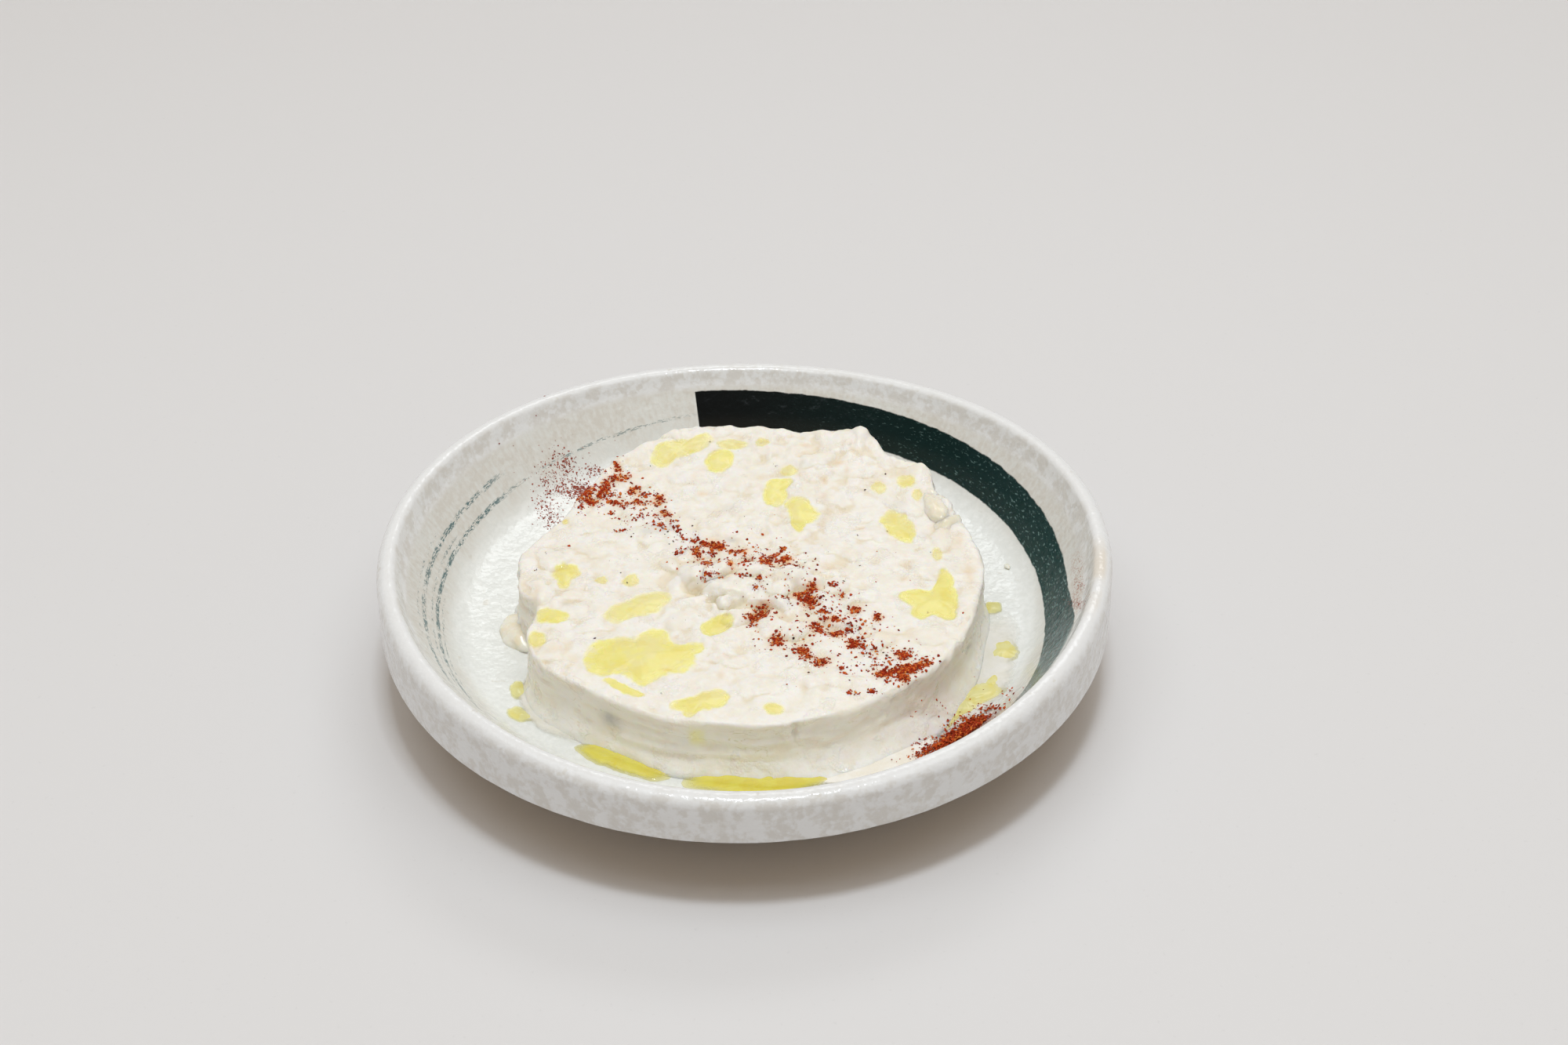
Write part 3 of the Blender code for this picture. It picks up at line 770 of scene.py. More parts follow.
def cake_points():
    """Points of the dip in mm, and its faces: a grid bent into a disc, then rows down the side and under."""
    steps = np.linspace(-1, 1, TOP_GRID + 1)
    a, b = np.meshgrid(steps, steps, indexing="ij")
    wide = np.abs(a) > np.abs(b)
    share = np.where(wide, a, b)
    safe = np.where(share == 0, 1, share)
    angle = np.where(wide, math.pi / 4 * b / safe, math.pi / 2 - math.pi / 4 * a / safe)
    angle = np.where(share < 0, angle + math.pi, angle)
    share = np.abs(share)
    reach = (cake_outline_mm(angle) - EDGE_ROUND_MM) * share
    x = CAKE_CENTRE_MM[0] + reach * np.cos(angle)
    y = CAKE_CENTRE_MM[1] + reach * np.sin(angle)
    points = [np.stack([x, y, cake_top_mm(x, y)], -1).reshape(-1, 3)]
    number = np.arange((TOP_GRID + 1) ** 2).reshape(TOP_GRID + 1, -1)
    corners = [number[:-1, :-1], number[1:, :-1], number[1:, 1:], number[:-1, 1:]]
    faces = [np.stack(corners, -1).reshape(-1, 4)]

    rim = np.concatenate([number[:-1, 0], number[-1, :-1], number[:0:-1, -1], number[0, :0:-1]])
    rim_angle = angle.reshape(-1)[rim]
    outline = cake_outline_mm(rim_angle)

    def ring(inset, height):
        spot_x = CAKE_CENTRE_MM[0] + (outline - inset) * np.cos(rim_angle)
        spot_y = CAKE_CENTRE_MM[1] + (outline - inset) * np.sin(rim_angle)
        return np.stack([spot_x, spot_y, height(spot_x, spot_y)], -1)

    rings = []
    for tilt in np.radians((22, 45, 68, 90)):
        drop = EDGE_ROUND_MM * (1 - math.cos(tilt))
        rings.append(ring(EDGE_ROUND_MM * (1 - math.sin(tilt)), lambda x, y: cake_top_mm(x, y) - drop))
    for row in range(1, SIDE_ROWS + 1):
        down = row / SIDE_ROWS

        def height(x, y):
            low = dish_height_mm(x, y)
            return low + (cake_top_mm(x, y) - EDGE_ROUND_MM - low) * (1 - down)

        dragged = FOOT_FLARE[2] * bell(degrees_off(rim_angle, FOOT_FLARE[0]), FOOT_FLARE[1])
        inset = WAIST_MM * math.sin(math.pi * down) - (FOOT_SPREAD_MM + dragged) * down**4
        rings.append(ring(inset, height))
    for inset in (-FOOT_SPREAD_MM, 4.0, 22.0, 45.0):
        rings.append(ring(inset, lambda x, y: dish_height_mm(x, y) - SUNK_MM))
    upper = rim
    first = len(points[0])
    for made in rings:
        lower = first + np.arange(len(rim))
        faces.append(np.stack([upper, lower, np.roll(lower, -1), np.roll(upper, -1)], -1))
        points.append(made)
        upper = lower
        first += len(rim)
    pole = np.array([[*CAKE_CENTRE_MM, dish_height_mm(*CAKE_CENTRE_MM) - SUNK_MM]])
    caps = np.stack([np.full(len(rim), first), np.roll(upper, -1), upper], -1)
    return np.concatenate([*points, pole]), [f.tolist() for f in np.concatenate(faces)] + caps.tolist()


def cake_relief_mm(x, y, z, top, oil):
    """How far the surface stands out: curds and smears on the top, drag marks round the side."""
    around = np.arctan2(y, x) * CAKE_RADIUS_MM

    # The top: worked into curds in the heap and at the far edge, smeared flat elsewhere
    heap = bell(x - 5, 22) * bell(y + 14, 14)
    worked = smooth_step(0.45 + 1.6 * noise_at(x - 60, y, z, 24.0)) + heap + smooth_step((y - 34) / 16)
    worked = np.clip(worked, 0, 1)
    bent_x = x + 4.0 * noise_at(x, y, z + 40, 9.0)
    bent_y = y + 4.0 * noise_at(x, y, z + 70, 9.0)
    lumps = 0.62 * noise_at(bent_x, bent_y, z, 6.5) + 0.30 * noise_at(bent_x + 40, bent_y, z, 3.2)
    ridges = 0.55 * (0.30 - np.abs(noise_at(bent_x, bent_y + 30, z, 8.0)))
    curds = 0.42 * np.abs(noise_at(x, y + 50, z, 2.8)) + 0.08 * noise_at(x, y, z + 20, 1.25)
    smears = 0.16 * noise_at(bent_x + 0.6 * bent_y, bent_y - 0.6 * bent_x, z, (9.0, 2.4, 5.0))
    on_top = (lumps + ridges) * (0.6 + 0.6 * worked + 1.9 * heap) + worked * curds + (1 - worked) * smears

    # The side: level drag marks, slanting folds, pits, a nick in the near edge, and torn clumps behind
    drags = 0.6 * noise_at(around, 0 * y, z, (15.0, 1.0, 2.2)) + 0.6 * noise_at(bent_x, bent_y, z, 6.5)
    drags = drags + 0.22 * noise_at(around, 0 * y, z, (5.0, 1.0, 0.9))
    folded = bell(degrees_off(np.arctan2(y, x), FOLDS_AT[0]), FOLDS_AT[1])
    drags = drags + 1.1 * folded * noise_at(around + 1.3 * z, 0 * y, z - 0.55 * around, (13.0, 1.0, 2.6))
    pits = -0.6 * smooth_step(2.4 * noise_at(x, y, z + 60, (4.5, 4.5, 2.2)) - 0.9)
    on_side = drags + pits + 0.12 * noise_at(x, y, z, 1.3)
    away = degrees_off(np.arctan2(y - CAKE_CENTRE_MM[1], x - CAKE_CENTRE_MM[0]), SIDE_NOTCH[0])
    on_side = on_side - 1.3 * bell(away, SIDE_NOTCH[1]) * smooth_step((z - 22) / 6)
    torn = smooth_step((y + 0.35 * np.abs(x) + 0.5 * (x < 0) * np.abs(x) - 18) / 26)
    on_side = on_side + torn * (0.9 * noise_at(x + 10, y, z, 5.0) + 0.7 * noise_at(x, y + 10, z, 2.4))
    return (on_top * top + on_side * (1 - top)) * (1 - 0.85 * np.minimum(oil, 1))


def dip_material():
    """Off-white curd with clearer, browned and charred flesh in it, wet in places, stained from above."""
    # It also paints shade into the hollows and creases of the dip, and light onto its side.
    material, tree, shader = surface("aubergine_dip")
    here = place_in_piece(tree)
    oil, side, hollow, crease, tan, grey, chilli = (read_attribute(tree, name) for name in (
        "oil", "side", "hollow", "crease", "tan", "grey", "chilli"))
    clouds = grain(tree, 0.0065, here, detail=4.0, roughness=0.6, layer=1.0)
    curdy = grain(tree, 0.0016, here, detail=3.0, roughness=0.6, layer=2.0)
    fibres = grain(tree, 0.0028, here, detail=3.0, roughness=0.65, layer=3.0, distortion=1.8)
    fine = grain(tree, 0.0006, here, layer=5.0)

    colour = blend(tree, (clouds * 0.7 + curdy * 0.3).smooth(0.40, 0.58), CREAM, CURD_WHITE)
    # Clearer flesh follows the fibres and leans a little into the hollows, where it adds some painted shade.
    clear = (fibres + hollow * 0.10).smooth(0.57, 0.70)
    colour = blend(tree, clear * 0.4, colour, WET_FLESH)
    # Painted shade: a warm tan laid into the hollows of the top and of the side, less on the side.
    colour = blend(tree, hollow.smooth(0.1, 0.95) * (0.45 + curdy * 0.5 - side * 0.2), colour, PAINTED_HOLLOW_SHADE)
    # Painted light: the side gets a paler cream than the top, so that it reads brighter.
    colour = blend(tree, side * (0.55 + curdy * 0.5), colour, SIDE_PAINTED_LIGHT_CREAM)
    # Browned flesh at random and at the listed bits; the marks in the heap are painted shade at the feet of
    # its lumps.
    browned = grain(tree, 0.0036, here, layer=4.0).smooth(0.68, 0.80) * 0.10
    colour = blend(tree, tan.work("MAXIMUM", browned) * (0.35 + fibres), colour, BROWNED)
    colour = blend(tree, grey * (0.4 + curdy), colour, CHARRED)
    # Painted shade: olive darkening in the creases and at the near feet of the lumps.
    colour = blend(tree, crease * (0.45 + curdy * 0.5), colour, OLIVE_THREADS_AND_CREASE_SHADE)

    # Level streaks in the side, olive threads where it folded, then the stains of oil and chilli
    level = stretched(tree, here, (1.0, 1.0, 3.0))
    drift = grain(tree, 0.008, level, detail=3.0, layer=8.0).smooth(0.50, 0.66)
    colour = blend(tree, drift * side * 0.6, colour, SIDE_TAN)
    threads = (grain(tree, 0.011, level, detail=3.0, layer=6.0, distortion=0.6) - 0.5).work("ABSOLUTE")
    threads = threads.smooth(0.011, 0.002) * clouds.smooth(0.50, 0.60) * (side * 0.8 + 0.2)
    colour = blend(tree, threads * 0.5, colour, OLIVE_THREADS_AND_CREASE_SHADE)
    pooled = (clouds * 0.6 + curdy * 0.4).smooth(0.44, 0.56)
    colour = blend(tree, oil * (0.62 + pooled * 0.55), colour, OIL_STAIN, how="MULTIPLY")
    colour = blend(tree, chilli * (curdy * 2.0), colour, CHILLI_STAIN, how="MULTIPLY")
    feed(shader.inputs["Base Color"], colour)

    wet = (grain(tree, 0.0055, here, layer=7.0) + hollow * 0.06).smooth(0.54, 0.62)
    feed(shader.inputs["Roughness"], 0.36 - wet * 0.27 - oil * 0.1)
    shader.inputs["IOR"].default_value = 1.4
    shader.inputs["Subsurface Weight"].default_value = 0.5
    shader.inputs["Subsurface Radius"].default_value = (1.0, 0.75, 0.45)
    shader.inputs["Subsurface Scale"].default_value = 0.0022
    set_relief(tree, shader, (curdy * 0.6 + fine * (0.1 + wet * 1.1)) * (1 - oil * 0.9), 0.6, 0.0005)
    return material


def stained(x, y):
    """How much oil has soaked in at arrays of places on the top, 0 to 1."""
    total = 0 * x
    wander = patch_outline(x, y)
    for strength, depth, blobs in OIL_PATCHES:
        total = np.maximum(total, strength * smooth_step((blobs_at(blobs, x, y) * wander - 0.38) / 0.22))
    return total


def hollows(height_mm, rounds, deepest):
    """How far each point of a grid lies under (1) or over (-1) its own neighbourhood."""
    soft = height_mm
    for _ in range(rounds):
        wide = np.pad(soft, 1, mode="edge")
        soft = (wide[:-2, 1:-1] + wide[2:, 1:-1] + wide[1:-1, :-2] + wide[1:-1, 2:]) / 4
    return np.clip((soft - height_mm) / deepest, -1, 1)


def set_attribute(data, name, values):
    """Keeps a number at each point of a mesh, for its material to read."""
    made = data.attributes.new(name, "FLOAT", "POINT")
    made.data.foreach_set("value", np.asarray(values, np.float32))


points, faces = cake_points()
cake = bpy.data.meshes.new("dip_cake")
cake.from_pydata(points / 1000, [], faces)
normals = np.empty(len(points) * 3)
cake.vertex_normals.foreach_get("vector", normals)
normals = normals.reshape(-1, 3)
x, y, z = points.T
top = smooth_step(normals[:, 2] * 1.6 - 0.1)
oil = stained(x, y) * top
under = smooth_step((z - dish_height_mm(x, y) - 0.4) / 1.0)
relief = cake_relief_mm(x, y, z, top, oil) * under
drip_away = np.radians(degrees_off(np.arctan2(y, x), SIDE_DRIP[0])) * CAKE_RADIUS_MM
drip = 0.55 * np.exp(-((drip_away / SIDE_DRIP[1]) ** 4) - ((z - 26.5) / 3.0) ** 4) * (1 - top)
points = points + normals * relief[:, None]
too_high = np.maximum(points[:, 2] - CAKE_LIMIT_MM, 0)
points[:, 2] -= too_high - 0.8 * np.tanh(too_high / 0.8)
cake.vertices.foreach_set("co", (points / 1000).reshape(-1))
set_attribute(cake, "oil", np.maximum(oil, drip))
set_attribute(cake, "side", 1 - top)
# How sunk each point lies, on the top against its neighbourhood and on the side from its relief; the material
# paints shade into these hollows.
grid_points = (TOP_GRID + 1) ** 2
hollow = 0 * x
hollow[:grid_points] = hollows(points[:grid_points, 2].reshape(TOP_GRID + 1, -1), 40, 0.42).reshape(-1)
set_attribute(cake, "hollow", hollow * top + np.clip(0.1 - relief, -1, 1) * (1 - top) * under)
# Where olive shade is painted: the near feet of the lumps and the listed creases.
painted_crease_shade = np.maximum(lobes_at(x, y)[1], np.clip(1.3 * marks_at(CREASES, x, y), 0, 1))
set_attribute(cake, "crease", painted_crease_shade * top)
# Tan marks: browned bits, and painted shade in the heap.
set_attribute(cake, "tan", marks_at(TAN_BITS_AND_HEAP_SHADE, x, y) * top)
skin_in_side = 0.7 * bell(np.linalg.norm(points - np.array(SIDE_GREY_MM), axis=1), SIDE_GREY_SIZE_MM)
set_attribute(cake, "grey", np.maximum(marks_at(GREY_BITS, x, y) * top, skin_in_side * (1 - top)))
cake.shade_smooth()
dip = link("dip_cake", cake)


# --- Oil ---------------------------------------------------------------------------------------------
# Green-yellow olive oil, poured in a thin thread: it lies in shallow films and drops on the top, has run
# down the side and stands in domed pools on the floor of the dish, against the foot of the cake.

OIL_FILM = ((1.0, 0.94, 0.38, 1.0), 0.36)  # colour and how much of what lies under is hidden
OIL_ON_GLAZE = ((1.0, 0.95, 0.38, 1.0), 0.62)
OIL_POOL = ((0.91, 0.82, 0.065, 1.0), 0.66)
SPOKES = 72
LENS_SHARES = (0.2, 0.4, 0.58, 0.74, 0.87, 0.95, 0.99)
SEARCH_MM = 0.1  # how finely the outline of a film is looked for
FRONT_POOL = ((-12.0, 2.6, 6.4, 5.0), (2.0, 3.2, 7.0, 5.8), (14.0, 2.6, 6.4, 5.0))  # along the foot, out
LEFT_POOL = ((-9.5, 2.4, 4.5, 3.6), (0.0, 2.6, 6.0, 3.8), (9.5, 1.8, 4.5, 3.2))
RIGHT_POOL = (  # in plan, as the drops are
    (59.0, -36.5, 3.4, 4.6), (57.0, -42.5, 4.6, 5.0), (51.0, -50.5, 3.2, 4.2), (65.5, -37.0, 4.6, 3.6),
)
FLOOR_DROPS = (  # depth, then blobs
    (0.35, ((-60.8, -33.6, 2.0, 2.9), (-59.9, -37.0, 1.6, 1.8))),
    (0.35, ((-60.2, -44.4, 2.6, 2.6), (-57.2, -47.2, 2.4, 1.8))),
    (0.3, ((70.8, -18.0, 3.2, 3.6), (69.6, -22.8, 3.4, 2.6))),
    (0.3, ((68.9, -1.0, 3.0, 2.8),)),
    (0.2, ((65.5, -34.5, 2.0, 3.2), (67.5, -31.0, 1.4, 1.8))),
)


def oil_material(name, colour, cover):
    """Clear glossy oil, deeper in colour and hiding more where it is thicker."""
    material, tree, shader = surface(name)
    deep = grain(tree, 0.005, place_in_piece(tree), detail=3.0, layer=1.0).smooth(0.44, 0.60)
    thick = read_attribute(tree, "thickness")
    deeper = (colour[0] * 0.96, colour[1] * 0.90, colour[2] * 0.55, 1.0)
    feed(shader.inputs["Base Color"], blend(tree, deep * thick.smooth(0.0, 0.7), colour, deeper))
    shader.inputs["Roughness"].default_value = 0.05
    shader.inputs["IOR"].default_value = 1.47
    feed(shader.inputs["Alpha"], (0.25 + thick.smooth(0.0, 0.5) * 0.75) * cover)
    return material


def add_lens(mesh, blobs, place, ground, depth, sink=0.25, rough=0.0, dome=1.0):
    """Adds a closed domed film whose outline joins the blobs. Place maps its plan to x, y in mm."""
    weights = np.array([half_x * half_y for _, _, half_x, half_y in blobs])
    middle_x = float(np.dot(weights, [b[0] for b in blobs]) / weights.sum())
    middle_y = float(np.dot(weights, [b[1] for b in blobs]) / weights.sum())
    directions = np.linspace(0, 2 * math.pi, SPOKES, endpoint=False)
    steps = np.arange(SEARCH_MM, 60, SEARCH_MM)
    plan_x = middle_x + np.outer(np.cos(directions), steps)
    plan_y = middle_y + np.outer(np.sin(directions), steps)
    level = blobs_at(blobs, plan_x, plan_y)
    reach = np.where(level > 0.5, 0, 1).argmax(axis=1) * SEARCH_MM
    edge_x = middle_x + reach * np.cos(directions)
    edge_y = middle_y + reach * np.sin(directions)
    reach = reach * patch_outline(edge_x, edge_y) ** 0.8
    reach = (np.roll(reach, 1) + 2 * reach + np.roll(reach, -1)) / 4

    def point(share, spoke, lift):
        px = middle_x + reach[spoke] * share * math.cos(directions[spoke])
        py = middle_y + reach[spoke] * share * math.sin(directions[spoke])
        x, y = place(px, py)
        bumps = rough * noise.noise((x / 1.7, y / 1.7, 5.0)) * (1 - share**4) if rough else 0
        vertex = mesh.verts.new((x / 1000, y / 1000, (ground(x, y) + lift + bumps) / 1000))
        vertex[mesh.verts.layers.float["thickness"]] = max(0.0, 1 - share**2) if lift > 0 else 0.0
        return vertex

    lifts = [(share, depth * (1 - share**2.4) ** dome) for share in LENS_SHARES]
    lifts += [(1.0, 0), *((share, -sink) for share in LENS_SHARES[::-1])]
    rows = [[point(share, i, lift) for i in range(SPOKES)] for share, lift in lifts]
    peak, floor = point(0, 0, depth), point(0, 0, -sink)
    for i in range(SPOKES):
        j = (i + 1) % SPOKES
        mesh.faces.new((peak, rows[0][i], rows[0][j]))
        mesh.faces.new((floor, rows[-1][j], rows[-1][i]))
        for inner, outer in zip(rows, rows[1:]):
            mesh.faces.new((inner[i], outer[i], outer[j], inner[j]))


def new_film():
    """An empty bmesh whose points can keep their thickness."""
    mesh = bmesh.new()
    mesh.verts.layers.float.new("thickness")
    return mesh


def finish_piece(name, mesh, material):
    """Turns a closed bmesh into an object whose faces look outwards."""
    if mesh.calc_volume(signed=True) < 0:
        bmesh.ops.reverse_faces(mesh, faces=mesh.faces)
    data = bpy.data.meshes.new(name)
    mesh.to_mesh(data)
    mesh.free()
    data.shade_smooth()
    data.materials.append(material)
    return link(name, data)


def as_drawn(x, y):
    return x, y


def foot_distance_mm(angle):
    """From the middle of the dish to the foot of the cake, in a direction round the dish."""
    reach = CAKE_RADIUS_MM
    for _ in range(20):
        x = reach * math.cos(angle) - CAKE_CENTRE_MM[0]
        y = reach * math.sin(angle) - CAKE_CENTRE_MM[1]
        reach += float(cake_outline_mm(math.atan2(y, x))) - math.hypot(x, y)
    return reach


def along_foot(middle):
    """Maps plans drawn in mm along the foot of the cake, anticlockwise from a direction, and out from it."""
    def place(along, out):
        angle = math.radians(middle) + along / 70.0
        reach = foot_distance_mm(angle) + out
        return reach * math.cos(angle), reach * math.sin(angle)
    return place


dip_tree = BVHTree.FromPolygons([Vector(p) for p in points], faces)


def on_dip(x, y):
    hit = dip_tree.ray_cast(Vector((x, y, 60.0)), Vector((0, 0, -1)))[0]
    return hit.z if hit else 30.0


def on_dish(x, y):
    return float(dish_height_mm(x, y))


film_look = oil_material("olive_oil_film", *OIL_FILM)
glaze_look = oil_material("olive_oil_on_glaze", *OIL_ON_GLAZE)
pool_look = oil_material("olive_oil_pool", *OIL_POOL)

films = new_film()
for strength, depth, blobs in OIL_PATCHES:
    add_lens(films, blobs, as_drawn, on_dip, depth * 0.8, dome=1.6)
oil_on_dip = finish_piece("oil_on_dip", films, film_look)

films = new_film()
for depth, blobs in FLOOR_DROPS:
    add_lens(films, blobs, as_drawn, on_dish, depth + 0.3, sink=0.05, dome=1.3)
oil_drops = finish_piece("oil_drops_on_dish", films, glaze_look)

for name, blobs, place, depth, look, node in (
    ("front_oil", FRONT_POOL, along_foot(272.0), 2.0, pool_look, "oil_pool_front"),
    ("left_oil", LEFT_POOL, along_foot(244.0), 1.6, pool_look, "oil_pool_left"),
    ("right_oil", RIGHT_POOL, as_drawn, 0.9, glaze_look, "oil_pool_right"),
):
    films = new_film()
    add_lens(films, blobs, place, on_dish, depth, sink=0.02, rough=0.5, dome=0.8)
    pool = finish_piece(name, films, look)
    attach(pool, "root")
    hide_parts(node)

for piece in (oil_on_dip, oil_drops):
    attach(piece, "root")


# --- Smears on the floor of the dish -----------------------------------------------------------------
# Thin dip that the mould dragged out over the dish at the right, at the near right foot and at the left. It
# is so thin at its edges that the glaze shows through.

RIGHT_SMEAR = (  # along the foot, out from it, half length, half width
    (-36, 5, 11, 6), (-20, 6, 11, 7), (-4, 6, 11, 6.5), (11, 5, 9, 5.5), (22, 3, 6, 4),
)
LEFT_SMEAR = ((-15.0, 1.0, 9.0, 3.0), (-1.0, 1.6, 9.0, 3.8), (12.0, 1.2, 8.0, 3.2))
FRONT_SMEAR = ((-15.0, 3.0, 9.0, 6.5), (-3.0, 4.5, 10.0, 9.0), (11.0, 4.5, 10.0, 8.5))


def smear_material(name, colour, cover):
    """Patchy dip that lets what lies under it through where it is thin."""
    material, tree, shader = surface(name)
    here = place_in_piece(tree)
    thickness = read_attribute(tree, "thickness")
    patchy = grain(tree, 0.0045, here, detail=3.0, layer=1.0)
    fine = grain(tree, 0.0012, here, detail=3.0, layer=2.0)
    feed(shader.inputs["Base Color"], blend(tree, patchy.smooth(0.4, 0.6), colour, CURD_WHITE))
    hidden = (thickness * 0.9 + patchy * 0.5 + fine * 0.15).smooth(0.52, 1.05) * cover
    feed(shader.inputs["Alpha"], hidden.work("MINIMUM", 1.0))
    shader.inputs["Roughness"].default_value = 0.3
    set_relief(tree, shader, fine + patchy, 0.5, 0.0003)
    return material


for name, blobs, middle, depth, colour, cover in (
    ("right_smear", RIGHT_SMEAR, 343.0, 0.35, (0.90, 0.88, 0.80, 1.0), 0.8),
    ("front_smear", FRONT_SMEAR, 300.0, 1.1, (0.88, 0.84, 0.745, 1.0), 2.2),
    ("left_smear", LEFT_SMEAR, 222.0, 0.5, (0.90, 0.88, 0.78, 1.0), 0.8),
):
    smear = new_film()
    add_lens(smear, blobs, along_foot(middle), on_dish, depth, sink=0.02, rough=0.12)
    smear = finish_piece(name, smear, smear_material(name + "_dip", colour, cover))
    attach(smear, "root")


# --- Lumps of aubergine ------------------------------------------------------------------------------
# Soft, clear, browned pieces of roast aubergine that the mash left whole: one on the floor of the dish
# against the left of the cake, one glistening in the far right edge, and a few small ones.

LUMPS = (  # x, y, how far its middle stands over what it lies on, half sizes, turn in degrees, where it lies
    (-61.2, -10.5, 0.3, (6.6, 8.2, 3.7), 12, on_dish),
    (54.0, 22.0, -1.1, (3.6, 7.4, 2.3), 12, on_dip),
    (56.6, 16.0, -1.3, (3.6, 5.4, 2.1), -30, on_dip),
    (74.6, 17.0, 0.2, (0.8, 1.2, 0.5), 20, on_dish),
)
LUMP_COLOUR = (0.90, 0.86, 0.75, 1.0)
LUMP_BROWN = (0.87, 0.79, 0.61, 1.0)

flesh, tree, shader = surface("roast_aubergine")
mixed = grain(tree, 0.004, place_in_piece(tree), detail=3.0).smooth(0.42, 0.66)
feed(shader.inputs["Base Color"], blend(tree, mixed, LUMP_COLOUR, LUMP_BROWN))
feed(shader.inputs["Roughness"], 0.30 - mixed * 0.2)
shader.inputs["Subsurface Weight"].default_value = 0.4
shader.inputs["Subsurface Radius"].default_value = (1.0, 0.7, 0.35)
shader.inputs["Subsurface Scale"].default_value = 0.003

lumps = bmesh.new()
for lump_x, lump_y, stand, half_sizes, turn, ground in LUMPS:
    made = bmesh.ops.create_icosphere(lumps, subdivisions=4, radius=1.0)["verts"]
    place = Matrix.Translation((lump_x, lump_y, ground(lump_x, lump_y) + stand)) @ Matrix.Rotation(
        math.radians(turn), 4, "Z")
    for vertex in made:
        spot = vertex.co + Vector((lump_x, lump_y, 0))
        bulge = 1 + 0.30 * noise.noise(spot * 1.1) + 0.09 * noise.noise(spot * 2.4)
        scaled = Vector(c * half for c, half in zip(vertex.co * bulge, half_sizes))
        vertex.co = place @ scaled / 1000
aubergine = finish_piece("aubergine_lumps", lumps, flesh)
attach(aubergine, "root")


# --- Chilli flakes -----------------------------------------------------------------------------------
# Coarse red chilli, pinched on in a band across the dish from the far left to the near right: crumbs of
# 0.2 to 1 mm that fell in clusters, a heap on the floor at the near right, fine dust at the far left, and
# a little dust rubbed into the glaze under the right lip. A few crumbs of black skin lie among them.

